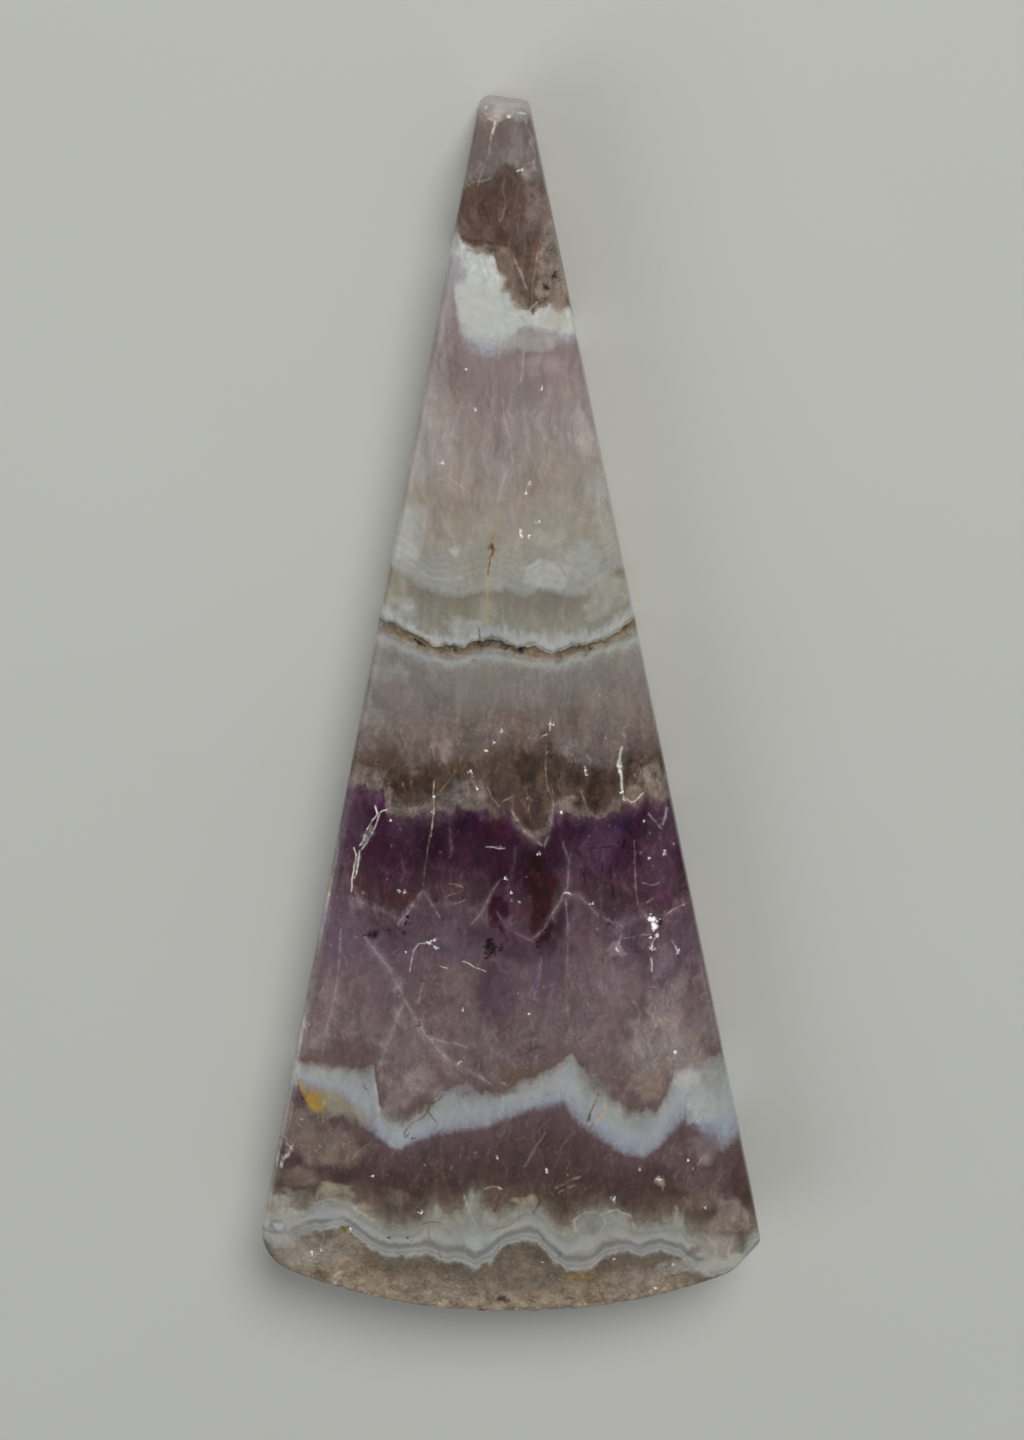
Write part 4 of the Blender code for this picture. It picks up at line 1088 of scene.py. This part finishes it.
class Paint:
    """Colour laid over the bands, kept with its share already multiplied in, and that share."""

    def __init__(self, places):
        self.places = places
        self.colour = np.zeros((len(places), 3))
        self.share = np.zeros(len(places))

    def lay(self, tone, share, at):
        """Covers a share of the places numbered in at with a tone."""
        self.colour[at] = self.colour[at] * (1 - share)[:, None] + stone_colour(tone) * share[:, None]
        self.share[at] = self.share[at] * (1 - share) + share

    def near(self, points, reach):
        """Numbers of the places that lie in the points' box or within reach of it."""
        low = points.min(0) - reach
        high = points.max(0) + reach
        return np.flatnonzero(((self.places > low) & (self.places < high)).all(axis=1))


def oval_reach(away, half, turn):
    """How far out in an oval places lie: 0 in its middle and 1 on its edge."""
    right = away[:, 0] * math.cos(turn) - away[:, 1] * math.sin(turn)
    along = away[:, 0] * math.sin(turn) + away[:, 1] * math.cos(turn)
    return np.hypot(right / half[0], along / half[1])


def paint_patch(paint, patch, seed):
    """A patch with a wavy edge."""
    middle = on_face([patch.place])
    half = np.array((patch.half_wide, patch.half_high)) * PIXEL
    at = paint.near(middle, PATCH_REACH * half.max())
    away = paint.places[at] - middle
    reach = oval_reach(away, half, math.radians(patch.turn))
    reach += PATCH_WAVES * ragged(*(away / half * PATCH_LUMPS).T, seed=seed, octaves=5)
    edge = smooth_step(PATCH_EDGE - patch.softness / 2, PATCH_EDGE + patch.softness / 2, reach)
    paint.lay(patch.tone, patch.strength * (1 - edge), at)


def along_line(places, points):
    """Each place's distance to the line through the points, and its share of the way along the line."""
    nearest = np.full(len(places), np.inf)
    way = np.zeros(len(places))
    for number, (start, end) in enumerate(zip(points, points[1:])):
        run = end - start
        share = np.clip((places - start) @ run / (run @ run), 0, 1)
        away = np.hypot(*(places - start - share[:, None] * run).T)
        closer = away < nearest
        nearest[closer] = away[closer]
        way[closer] = (number + share[closer]) / (len(points) - 1)
    return nearest, way


def line_places(line):
    """A line's places on the face, a little wavy between its points."""
    spaced = evenly_spaced(on_face(line.points), FACE_STEP)
    noise_places = spaced.T * LINE_WAVES_PER_MM
    waves = np.stack((lumps(*noise_places), lumps(*noise_places, seed=2)), axis=1)
    return spaced + LINE_WAVES * waves


def paint_line(paint, line, seed):
    """A narrow line, in a faint veil or none, which tapers towards its ends and breaks up on its way."""
    points = line_places(line)
    width = line.width * PIXEL
    at = paint.near(points, VEIL_SPREAD * width)
    away, way = along_line(paint.places[at], points)
    noise_places = paint.places[at].T * LINE_BREAKS_PER_MM
    taper = smooth_step(*LINE_TAPER, way) * smooth_step(*LINE_TAPER, 1 - way)
    uneven = 0.8 + 0.6 * lumps(*noise_places, seed=seed)
    core = np.clip(LINE_EDGE - away / (LINE_SPREAD * width * taper * uneven), 0, 1)
    core *= np.clip(0.9 + 0.9 * ragged(*noise_places, seed=seed + 50, octaves=2), FAINTEST, 1)
    veil = np.clip(1 - away / (VEIL_SPREAD * width * taper), 0, 1)
    paint.lay(line.tone, line.strength * np.maximum(core, line.veil * veil), at)


def paint_flakes(paint, spot, tone, seed):
    """A few small flakes close together, the first of them in the middle of the spot."""
    pick = np.random.default_rng(seed)
    spot_middle = on_face([spot[:2]])
    radius = spot[2] * PIXEL
    at = paint.near(spot_middle, FLAKES_REACH * radius)
    share = np.zeros(len(at))
    for number in range(FLAKES):
        middle = spot_middle + min(number, 1) * pick.normal(0, FLAKE_SCATTER * radius, 2)
        half = np.maximum(pick.uniform(*FLAKE_SIZES, 2) * radius, SMALLEST_FLAKE)
        reach = oval_reach(paint.places[at] - middle, half, pick.uniform(0, math.pi))
        flake = pick.uniform(*FLAKE_STRENGTHS) * np.clip(FLAKE_EDGE - reach, 0, 1)
        share = np.maximum(share, flake)
    paint.lay(tone, share, at)


def paint_edge_highlight(paint):
    """A painted highlight along the left bevel of the face, below the middle of the stone."""
    x, y = paint.places.T
    from_middle = np.abs(x - left_side(y) - EDGE_HIGHLIGHT_INSET)
    share = np.clip(EDGE_HIGHLIGHT_EDGE - from_middle / EDGE_HIGHLIGHT_HALF_WIDTH, 0, 1) * smooth_step(*EDGE_HIGHLIGHT_FROM_Y, -y)
    uneven = 0.7 + 0.5 * ragged(x * EDGE_HIGHLIGHT_LUMPS[0], y * EDGE_HIGHLIGHT_LUMPS[1], seed=21)
    share *= np.clip(uneven, FAINTEST, 1)
    paint.lay(EDGE_HIGHLIGHT_TONE, EDGE_HIGHLIGHT_STRENGTH * share, slice(None))


def painted_marks(places):
    """All the paint on the places, with the faint and wide marks laid first."""
    paint = Paint(places)
    for number, patch in enumerate(PATCHES):
        paint_patch(paint, patch, number)
    for number, line in enumerate(LINES):
        paint_line(paint, line, number)
    for number, spot in enumerate(SPECKS):
        paint_flakes(paint, spot, BLACK, number)
    # the glints: painted highlights
    for number, spot in enumerate(PAINTED_GLINTS):
        paint_flakes(paint, spot, PAINTED_GLINT_TONE, number)
    # the painted highlight along the left bevel
    paint_edge_highlight(paint)
    return paint


def mark_rows():
    """Places that the mesh needs to draw the narrow lines, specks and glints sharply."""
    rows = []
    for line in LINES:
        middle = line_places(line)
        along = np.gradient(middle, axis=0)
        aside = np.stack((along[:, 1], -along[:, 0]), axis=1) / np.hypot(*along.T)[:, None]
        edge = LINE_EDGE * LINE_SPREAD * line.width * PIXEL
        rows += [middle + aside * edge * share for share in (-1, 0, 1)]
    for x, y, radius in SPECKS + PAINTED_GLINTS:
        middle = on_face([(x, y)])[0]
        reach = FINE_MESH_REACH * radius * PIXEL
        rows.append(lattice(middle - reach, middle + reach, FLAKE_STEP))
    return np.vstack(rows)


# Shape


def seam_depth(tops, y):
    """Depth of the open seam, which follows its band."""
    inside = np.minimum(tops[SEAM_BAND] - y, y - tops[SEAM_BAND + 1])
    return SEAM_DEPTH * smooth_step(-SEAM_LIP / 2, SEAM_LIP, inside)


def pit_depth(x, y):
    """Depth of the round pits, a little crooked."""
    depth = np.zeros(len(x))
    for pit_x, pit_y, radius in PITS:
        from_middle = np.hypot(x - pit_x, y - pit_y)
        from_middle *= 1 + PIT_CROOKEDNESS * lumps(x * PIT_LUMPS_PER_MM, y * PIT_LUMPS_PER_MM)
        depth = np.maximum(depth, np.sqrt(np.maximum(0, radius**2 - from_middle**2)))
    return depth


def rim_depth(x, y):
    """Crumbled hollows of the face beside the base arc."""
    wander = RIM_WANDER * lumps(x * RIM_WANDERS_PER_MM, y * RIM_WANDERS_PER_MM)
    beside = 1 - smooth_step(*RIM_WIDTH, y - base_arc(x) + wander)
    half_fade = RIM_END_FADE / 2
    ends = smooth_step(RIM_ROUGH_FROM - half_fade, RIM_ROUGH_FROM + half_fade, x)
    ends *= 1 - smooth_step(RIM_ROUGH_TO - half_fade, RIM_ROUGH_TO + half_fade, x)
    hollows = ragged(x * RIM_HOLLOWS_PER_MM, y * RIM_HOLLOWS_PER_MM, seed=3, octaves=4)
    return RIM_HOLLOW_DEPTH * beside * ends * np.maximum(0, hollows + RIM_HOLLOW_SHIFT)


def chip_floor(x, y):
    """Height of the chip's broken surface, and a great height away from it."""
    away = np.stack((x - CHIP_PLACE.x, y - CHIP_PLACE.y), axis=1)
    reach = oval_reach(away, CHIP_HALF_SIZE, -CHIP_TURN)
    floor = CHIP_PLACE.z - CHIP_HALF_SIZE.z * np.sqrt(np.maximum(0, 1 - reach**2))
    floor += CHIP_ROUGHNESS * ragged(x * CHIP_LUMPS_PER_MM, y * CHIP_LUMPS_PER_MM, seed=5)
    return np.where(reach < 1, floor, FAR_ABOVE)


def facet_height(x, y):
    """Height of the plane that cuts the facet off the tip."""
    across = FACET_NORMAL.x * (x - FACET_POINT.x) + FACET_NORMAL.y * (y - FACET_POINT.y)
    return FACET_POINT.z - across / FACET_NORMAL.z


def broken(places, tops):
    """The stone's places with the seam, pits, chip and rim taken out of its face, and the tip's facet."""
    x, y, z = places.T
    near_face = smooth_step(*BREAKS_FADE_IN, z)
    z = z - near_face * (seam_depth(tops, y) + pit_depth(x, y) + rim_depth(x, y))
    z = np.where(near_face > 0, np.minimum(z, chip_floor(x, y)), z)
    z = np.minimum(z, facet_height(x, y))
    return np.stack((x, y, z), axis=1)


# The mesh


def lattice(low, high, step):
    """Places of a triangular lattice between two corners."""
    rows = np.arange(low[1], high[1], step * math.sqrt(3) / 2)
    columns = np.arange(low[0], high[0], step)
    x, y = np.meshgrid(columns, rows)
    x[1::2] += step / 2
    return np.stack((x.ravel(), y.ravel()), axis=1)


def inside_plan(places, margin):
    """The places that lie at least a margin inside the plan."""
    x, y = places.T
    cut_slope = (CUT_START_Y - base_arc(CUT_END_X)) / (right_side(CUT_START_Y) - CUT_END_X)
    cut_line = base_arc(CUT_END_X) + cut_slope * (x - CUT_END_X)
    kept = (x > left_side(y) + margin) & (x < right_side(y) - margin) & (y < TIP_RIGHT.y - margin)
    return places[kept & (y > base_arc(x) + margin) & (y > cut_line + margin)]


def away_from(places, others, gap):
    """The places that are further than about gap from every other."""
    low = places.min(0) - gap
    cells = np.zeros(np.ceil((places.max(0) - low) / gap).astype(int) + 3, bool)
    taken = np.floor((others - low) / gap).astype(int) + 1
    for right in (-1, 0, 1):
        for up in (-1, 0, 1):
            near = np.clip(taken + (right, up), 0, np.array(cells.shape) - 1)
            cells[near[:, 0], near[:, 1]] = True
    own = np.floor((places - low) / gap).astype(int) + 1
    return places[~cells[own[:, 0], own[:, 1]]]


def fill(ring, inner):
    """Triangles that fill a ring and pass through the inner places. Returns the new places and the faces,
    where a number below the ring's length is a place of the ring."""
    count = len(ring)
    points = [Vector(point) for point in np.vstack((ring, inner))]
    edges = [(index, (index + 1) % count) for index in range(count)]
    inside_only = 1
    found = geometry.delaunay_2d_cdt(points, edges, [], inside_only, MERGE_DISTANCE)
    numbers = []
    added = []
    for place, origins in zip(found[0], found[3]):
        on_ring = [origin for origin in origins if origin < count]
        if on_ring:
            numbers.append(on_ring[0])
        else:
            numbers.append(count + len(added))
            added.append(place)
    faces = [[numbers[corner] for corner in face] for face in found[2]]
    return np.array(added), faces


def ring_levels(edge, normals):
    """The rings of the stone's side from the edge of the back up to the edge of the face."""
    bevel = FACE_BEVEL - FACE_BEVEL_SKEW * normals[:, :1]
    rings = []
    for turn in np.linspace(0, math.pi / 2, BEVEL_RINGS):
        inset = BACK_BEVEL * (1 - math.sin(turn))
        rings.append((edge - normals * inset, BACK_BEVEL * (1 - math.cos(turn))))
    for height in np.linspace(BACK_BEVEL, GIRDLE - FACE_BEVEL, WALL_RINGS)[1:]:
        rings.append((edge, height))
    for turn in np.linspace(0, math.pi / 2, BEVEL_RINGS)[1:-1]:
        inset = bevel * (1 - math.cos(turn))
        rings.append((edge - normals * inset, GIRDLE - FACE_BEVEL * (1 - math.sin(turn))))
    face = edge - normals * bevel
    rings.append((face, face_height(face[:, 0], face[:, 1])))
    return [np.column_stack((ring, np.broadcast_to(height, len(ring)))) for ring, height in rings]


def side_faces(count, levels):
    faces = []
    for level in range(levels - 1):
        for index in range(count):
            after = (index + 1) % count
            low = level * count
            faces.append((low + index, low + after, low + count + after, low + count + index))
    return faces


def renumbered(faces, ring_start, added_start, count, flip=False):
    """Faces from fill with the whole stone's numbers, turned over where flip says so."""
    step = -1 if flip else 1
    starts = (ring_start, added_start - count)
    return [[corner + starts[corner >= count] for corner in face][::step] for face in faces]


def face_fill(edge, ring):
    """The face's places inside its ring and its triangles, which are finer along the marks."""
    rows = mark_rows()
    inner = away_from(lattice(edge.min(0), edge.max(0), FACE_STEP), rows, MARK_GAP)
    inner = inside_plan(np.vstack((inner, rows)), FACE_BEVEL)
    places, faces = fill(ring, away_from(inner, ring, EDGE_GAP))
    return np.column_stack((places, face_height(*places.T))), faces


def back_fill(edge, ring):
    inner = inside_plan(lattice(edge.min(0), edge.max(0), BACK_STEP), 2 * BACK_BEVEL)
    places, faces = fill(ring, inner)
    return np.column_stack((places, np.zeros(len(places)))), faces


def stone_shape():
    """The stone's places in millimetres before anything is broken out of it, and its faces."""
    edge = outline()
    levels = ring_levels(edge, outward_normals(edge))
    sides = np.vstack(levels)
    face_places, face_faces = face_fill(edge, levels[-1][:, :2])
    back_places, back_faces = back_fill(edge, levels[0][:, :2])

    count = len(edge)
    faces = side_faces(count, len(levels))
    faces += renumbered(face_faces, len(sides) - count, len(sides), count)
    faces += renumbered(back_faces, 0, len(sides) + len(face_places), count, flip=True)
    return np.vstack((sides, face_places, back_places)), faces


def add_trait(mesh, name, values):
    mesh.attributes.new(name, "FLOAT", "POINT").data.foreach_set("value", values.astype(np.float32))


def add_paint(mesh, paint, depth_share):
    """Keeps the paint on the mesh's points, fading down the wall."""
    colour = np.column_stack((paint.colour, paint.share)) * depth_share[:, None]
    mesh.attributes.new("paint", "FLOAT_COLOR", "POINT").data.foreach_set("color", colour.ravel())


def stone_mesh():
    """The stone's mesh, with its growth, traits and paint kept on its points."""
    places, faces = stone_shape()
    x, y, z = places.T
    crinkle = CRINKLE * ragged(x * CRINKLES_PER_MM[0], y * CRINKLES_PER_MM[1], seed=11)
    band_y = y + BAND_DIP * (face_height(x, y) - z) + crinkle
    tops = band_tops(x, band_y)
    growth = growth_at(tops, band_y)

    mesh = bpy.data.meshes.new("amethyst_stone")
    mesh.from_pydata((broken(places, tops) * MM).tolist(), [], faces)
    add_trait(mesh, "growth", growth)
    for trait in TRAITS:
        add_trait(mesh, trait, band_trait(growth, trait))
    add_paint(mesh, painted_marks(places[:, :2]), smooth_step(*MARKS_FADE_IN, z))
    return mesh


def make_stone(material):
    mesh = stone_mesh()
    mesh.materials.append(material)
    mesh.shade_smooth()
    stone = bpy.data.objects.new("amethyst_stone", mesh)
    bpy.context.scene.collection.objects.link(stone)
    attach(stone, "root")
    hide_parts("cabochon")


# Materials


def stone_colour(tone):
    """The stone's own colour, linear, for a tone that the photograph shows on a screen."""
    share = np.asarray(tone) / 255
    light = np.where(share <= 0.04045, share / 12.92, ((share + 0.055) / 1.055) ** 2.4)
    return np.maximum((light - SHEEN_LEVEL) / LIGHT_LEVEL, DARKEST)


class Nodes:
    """Short calls that add nodes to a material. Inputs are sockets or plain values."""

    def __init__(self, material):
        self.tree = material.node_tree

    def add(self, kind, inputs=(), **settings):
        node = self.tree.nodes.new("ShaderNode" + kind)
        for name, value in settings.items():
            setattr(node, name, value)
        for name, value in dict(inputs).items():
            self.feed(node.inputs[name], value)
        return node

    def feed(self, socket, value):
        """Links a socket to another one, or sets its value."""
        if isinstance(value, bpy.types.NodeSocket):
            self.tree.links.new(value, socket)
        else:
            socket.default_value = value

    def trait(self, name):
        return self.add("Attribute", attribute_name=name).outputs["Fac"]

    def combined(self, operation, values):
        result = values[0]
        for value in values[1:]:
            result = self.add("Math", {0: result, 1: value}, operation=operation).outputs[0]
        return result

    def sum(self, *values):
        return self.combined("ADD", values)

    def product(self, *values):
        return self.combined("MULTIPLY", values)

    def spread(self, value, low, high, new_low=0.0, new_high=1.0):
        """The value moved from one range to another, and held inside it."""
        ranged = self.add(
            "MapRange",
            {"Value": value, "From Min": low, "From Max": high, "To Min": new_low, "To Max": new_high},
        )
        return ranged.outputs["Result"]

    def swing(self, value, amount, reach=0.2):
        """Light and shade by a noise: amount where it strays from a half by reach."""
        return self.spread(value, 0.5 - reach, 0.5 + reach, -amount, amount)

    def stretched(self, place, scale):
        return self.add("Mapping", {"Vector": place, "Scale": scale}).outputs[0]

    def noise(self, place, scale, detail=3.0, roughness=0.55):
        inputs = {"Vector": place, "Scale": scale, "Detail": detail, "Roughness": roughness}
        return self.add("TexNoise", inputs).outputs[0]

    def cells(self, place, scale=1.0):
        """A number by chance for each cell that the places fall into, and the distance to its middle."""
        cell = self.add("TexVoronoi", {"Vector": place, "Scale": scale})
        number = self.add("SeparateColor", {0: cell.outputs["Color"]}).outputs[0]
        return number, cell.outputs["Distance"]

    def cell_edge(self, place, scale=1.0):
        """The distance to the edge of the cell that a place falls into."""
        inputs = {"Vector": place, "Scale": scale}
        return self.add("TexVoronoi", inputs, feature="DISTANCE_TO_EDGE").outputs["Distance"]

    def mix(self, share, first, second, blend="MIX"):
        mixed = self.add("Mix", {0: share, 6: first, 7: second}, data_type="RGBA", blend_type=blend)
        return mixed.outputs[2]


def band_ramp(nodes, growth, first, last):
    """The tones of the bands from first up to last, one colour ramp along growth."""
    stops = [
        ((number - first + share) / (last - first), tone)
        for number in range(first, last)
        for share, tone in BANDS[number].tones
    ]
    ramp = nodes.add("ValToRGB", {"Fac": nodes.spread(growth, first, last)})
    elements = ramp.color_ramp.elements
    for index, (place, tone) in enumerate(stops):
        element = elements[index] if index < 2 else elements.new(place)
        element.position = place
    for element, (place, tone) in zip(elements, stops):
        element.color = (*stone_colour(tone), 1)
    return ramp.outputs["Color"]


def band_colours(nodes, growth):
    """The tones of all bands: the ramps, each fading into the next."""
    lasts = RAMP_FIRST_BANDS[1:] + (len(BANDS),)
    colour = band_ramp(nodes, growth, RAMP_FIRST_BANDS[0], lasts[0])
    for first, last in zip(RAMP_FIRST_BANDS[1:], lasts[1:]):
        following = band_ramp(nodes, growth, first, last)
        colour = nodes.mix(nodes.spread(growth, first - 0.1, first + 0.1), colour, following)
    return colour


def brightness(nodes, value):
    return nodes.add("CombineColor", {0: value, 1: value, 2: value}).outputs[0]


def painted(nodes, colour):
    """The colour with the painted marks laid over it."""
    paint = nodes.add("Attribute", attribute_name="paint")
    colour = nodes.mix(paint.outputs["Alpha"], colour, (0, 0, 0, 1))
    return nodes.mix(1.0, colour, paint.outputs["Color"], "ADD")


def wandering(nodes, place):
    """The place pushed about a little, so that nothing runs straight."""
    inputs = {"Vector": place, "Scale": WANDER_LUMPS, "Detail": 1.0}
    push = nodes.add("TexNoise", inputs).outputs["Color"]
    push = nodes.add("VectorMath", {0: push, 1: (0.5, 0.5, 0.5)}, operation="SUBTRACT").outputs[0]
    push = nodes.add("VectorMath", {0: push, "Scale": WANDER_REACH}, operation="SCALE").outputs[0]
    return nodes.add("VectorMath", {0: place, 1: push}, operation="ADD").outputs[0]


def threads(nodes, place, width):
    """Thin threads, where a noise passes through its middle."""
    away = nodes.sum(nodes.noise(place, 1.0, detail=4.0), -0.5)
    away = nodes.add("Math", {0: away}, operation="ABSOLUTE").outputs[0]
    return nodes.spread(away, 0.0, width, 1.0, 0.0)


def cloud_light(nodes, place):
    """Soft clouds, drawn out along the stone."""
    clouds = nodes.noise(nodes.stretched(place, CLOUD_LUMPS), 1.0, detail=5.0, roughness=0.62)
    return nodes.product(nodes.swing(clouds, CLOUD_LIGHT), nodes.trait("cloud"))


def fibre_light(nodes, place, here):
    """Fine fibres that run along the stone, here and there."""
    fibres = nodes.noise(nodes.stretched(place, FIBRE_LUMPS), 1.0, detail=4.0, roughness=0.7)
    amount = nodes.spread(here, 0, 1, 0.6, 1.0)
    return nodes.product(nodes.swing(fibres, FIBRE_LIGHT, reach=0.18), amount, nodes.trait("fibre"))


def crystal_light(nodes, place, here):
    """Crystals with different depths of colour, and paler edges and threads between them."""
    crystal_place = nodes.stretched(place, CRYSTAL_LUMPS)
    number, _ = nodes.cells(crystal_place)
    depth = nodes.swing(number, CRYSTAL_LIGHT, reach=0.5)
    edges = nodes.spread(nodes.cell_edge(crystal_place), 0.0, 0.08, CRYSTAL_EDGE_LIGHT, 0.0)
    veils = nodes.product(threads(nodes, nodes.stretched(place, THREAD_LUMPS), 0.02), THREAD_LIGHT)
    lines = nodes.product(nodes.sum(edges, veils), here)
    flaws = nodes.noise(nodes.stretched(place, FLAW_LUMPS), 1.0, detail=4.0, roughness=0.7)
    mottling = nodes.swing(flaws, FLAW_LIGHT)
    bright = nodes.spread(flaws, 0.57, 0.72, 0.0, FLAW_FLASH)
    return nodes.product(nodes.sum(depth, lines, mottling, bright), nodes.trait("crystal"))


def needle_light(nodes, place, here):
    """Thin straight crystals that fan out, each a short bright streak."""
    light = 0.0
    for angle in NEEDLE_ANGLES:
        inputs = {"Vector": place, "Angle": math.radians(angle)}
        turned = nodes.add("VectorRotate", inputs, rotation_type="Z_AXIS").outputs[0]
        streaks = nodes.noise(nodes.stretched(turned, NEEDLE_LUMPS), 1.0, detail=1.0)
        light = nodes.sum(light, nodes.spread(streaks, 0.58, 0.74, 0.0, NEEDLE_LIGHT))
    return nodes.product(light, nodes.spread(here, 0, 1, 0.2, 1.0), nodes.trait("needle"))


def grain_light(nodes, place, here):
    """Rounded crumbs with dark gaps between them, in lighter and darker heaps."""
    number, _ = nodes.cells(place, CRUMB_LUMPS)
    crumbs = nodes.spread(number, 0, 1, *CRUMB_LIGHT)
    gaps = nodes.spread(nodes.cell_edge(place, CRUMB_LUMPS), 0.0, 0.14, *CRUMB_GAP_LIGHT)
    gaps = nodes.product(gaps, nodes.spread(here, 0, 1, 0.4, 1.0))
    heaps = nodes.swing(nodes.noise(place, HEAP_LUMPS, detail=5.0, roughness=0.7), HEAP_LIGHT)
    return nodes.product(nodes.sum(crumbs, gaps, heaps), nodes.trait("grain"))


def ring_light(nodes, growth):
    """Faint rings that follow the lines between the bands."""
    wave = nodes.add("Math", {0: nodes.product(growth, RINGS * 2 * math.pi)}, operation="SINE").outputs[0]
    return nodes.product(wave, RING_LIGHT, nodes.trait("ring"))


def with_sparkle(nodes, place, here, colour):
    """The colour with small bright flecks scattered over its crystals: flaws painted as sparkling
    highlights.
    """
    number, from_middle = nodes.cells(nodes.stretched(place, SPARKLE_LUMPS))
    near = nodes.spread(from_middle, 0.06, 0.2, 1.0, 0.0)
    picked = nodes.spread(number, 0.65, 0.95)
    share = nodes.product(near, picked, nodes.spread(here, 0, 1, 0.25, 1.0), nodes.trait("needle"))
    return nodes.mix(share, colour, SPARKLE_COLOUR, "ADD")


def tinted(nodes, place, colour):
    """The colour a little warmer in some places and cooler in others."""
    share = nodes.spread(nodes.noise(place, 0.55, detail=2.0), 0.35, 0.65)
    tint = nodes.mix(share, WARM_TINT, COOL_TINT)
    return nodes.mix(1.0, colour, tint, "MULTIPLY")


def stone_roughness(nodes, place):
    """Polished, but dull where the stone is grainy."""
    dull = nodes.product(nodes.trait("grain"), DULL_GRAIN)
    smears = nodes.spread(nodes.noise(place, 1.3, detail=2.0), 0.3, 0.7, *POLISH)
    return nodes.sum(smears, dull)


def stone_bump(nodes, place):
    """Grain in the crumbly places, and hardly any waves in the polish."""
    grains = nodes.product(nodes.noise(place, 5.0, detail=3.0, roughness=0.7), nodes.trait("grain"))
    polish = nodes.product(nodes.noise(place, 1.1, detail=0.0), 0.08)
    height = nodes.sum(grains, polish)
    inputs = {"Height": height, "Distance": BUMP_HEIGHT * MM, "Strength": BUMP_STRENGTH}
    return nodes.add("Bump", inputs).outputs[0]


def textured(nodes, place, growth, colour):
    """The colour made lighter and darker by all that the stone grew with."""
    here = nodes.spread(nodes.noise(place, 0.9), 0.42, 0.6)
    parts = [part(nodes, place, here) for part in (fibre_light, crystal_light, needle_light, grain_light)]
    light = nodes.sum(1.0, cloud_light(nodes, place), ring_light(nodes, growth), *parts)
    colour = nodes.mix(1.0, colour, brightness(nodes, light), "MULTIPLY")
    # the flecks added here are painted sparkle
    return with_sparkle(nodes, place, here, colour)


def amethyst_material():
    material = bpy.data.materials.new("banded_amethyst")
    material.use_nodes = True
    nodes = Nodes(material)
    place = nodes.stretched(nodes.add("TexCoord").outputs["Object"], PER_MM)
    wander = nodes.swing(nodes.noise(place, 5.0, detail=2.0), GROWTH_WANDER, reach=0.3)
    growth = nodes.sum(nodes.trait("growth"), wander)
    colour = painted(nodes, band_colours(nodes, growth))
    colour = textured(nodes, wandering(nodes, place), growth, colour)

    shader = material.node_tree.nodes["Principled BSDF"]
    nodes.feed(shader.inputs["Base Color"], tinted(nodes, place, colour))
    nodes.feed(shader.inputs["Roughness"], stone_roughness(nodes, place))
    nodes.feed(shader.inputs["Normal"], stone_bump(nodes, place))
    shader.inputs["Specular IOR Level"].default_value = GLOSS
    return material


def floor_material():
    material = bpy.data.materials.new("pale_floor")
    material.use_nodes = True
    nodes = Nodes(material)
    shader = material.node_tree.nodes["Principled BSDF"]
    place = nodes.stretched(nodes.add("TexCoord").outputs["Object"], PER_MM)
    patches = nodes.noise(place, 0.05, detail=2.0)
    pale, paler = ((*stone_colour(tone), 1) for tone in FLOOR_TONES)
    nodes.feed(shader.inputs["Base Color"], nodes.mix(patches, pale, paler))
    shader.inputs["Roughness"].default_value = 0.9
    shader.inputs["Specular IOR Level"].default_value = 0.1
    return material


# The scene


def make_floor(material):
    """A large flat square under the stone."""
    half = FLOOR_HALF_WIDTH
    mesh = bpy.data.meshes.new("floor")
    corners = [(-half, -half, 0), (half, -half, 0), (half, half, 0), (-half, half, 0)]
    mesh.from_pydata(corners, [], [(0, 1, 2, 3)])
    mesh.materials.append(material)
    floor = bpy.data.objects.new("floor", mesh)
    bpy.context.scene.collection.objects.link(floor)


def make_lamp(lamp):
    """A round lamp that shines at the middle of the stone."""
    light = bpy.data.lights.new(lamp.name, "AREA")
    light.shape = "DISK"
    light.size = lamp.size
    light.energy = lamp.power
    light.color = lamp.tint
    made = bpy.data.objects.new(lamp.name, light)
    made.location = lamp.place
    made.rotation_euler = (-Vector(lamp.place)).to_track_quat("-Z", "Y").to_euler()
    bpy.context.scene.collection.objects.link(made)


def make_sky():
    world = bpy.data.worlds.new("soft_studio")
    world.use_nodes = True
    background = world.node_tree.nodes["Background"]
    background.inputs["Color"].default_value = SKY_COLOUR
    background.inputs["Strength"].default_value = SKY_LIGHT
    bpy.context.scene.world = world


def make_camera():
    camera = bpy.data.cameras.new("photo_view")
    camera.sensor_width = 36
    camera.lens = camera.sensor_width * FOCAL / FRAME_HIGH
    camera.clip_start = 0.005
    camera.clip_end = 20
    made = bpy.data.objects.new("photo_view", camera)
    made.location = CAMERA_PLACE * MM
    made.rotation_euler = (-CAMERA_TILT, 0, 0)
    bpy.context.scene.collection.objects.link(made)
    bpy.context.scene.camera = made


def main():
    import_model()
    bpy.context.scene.view_settings.view_transform = "Standard"
    make_camera()
    for lamp in LAMPS:
        make_lamp(lamp)
    make_sky()
    make_floor(floor_material())
    make_stone(amethyst_material())


main()
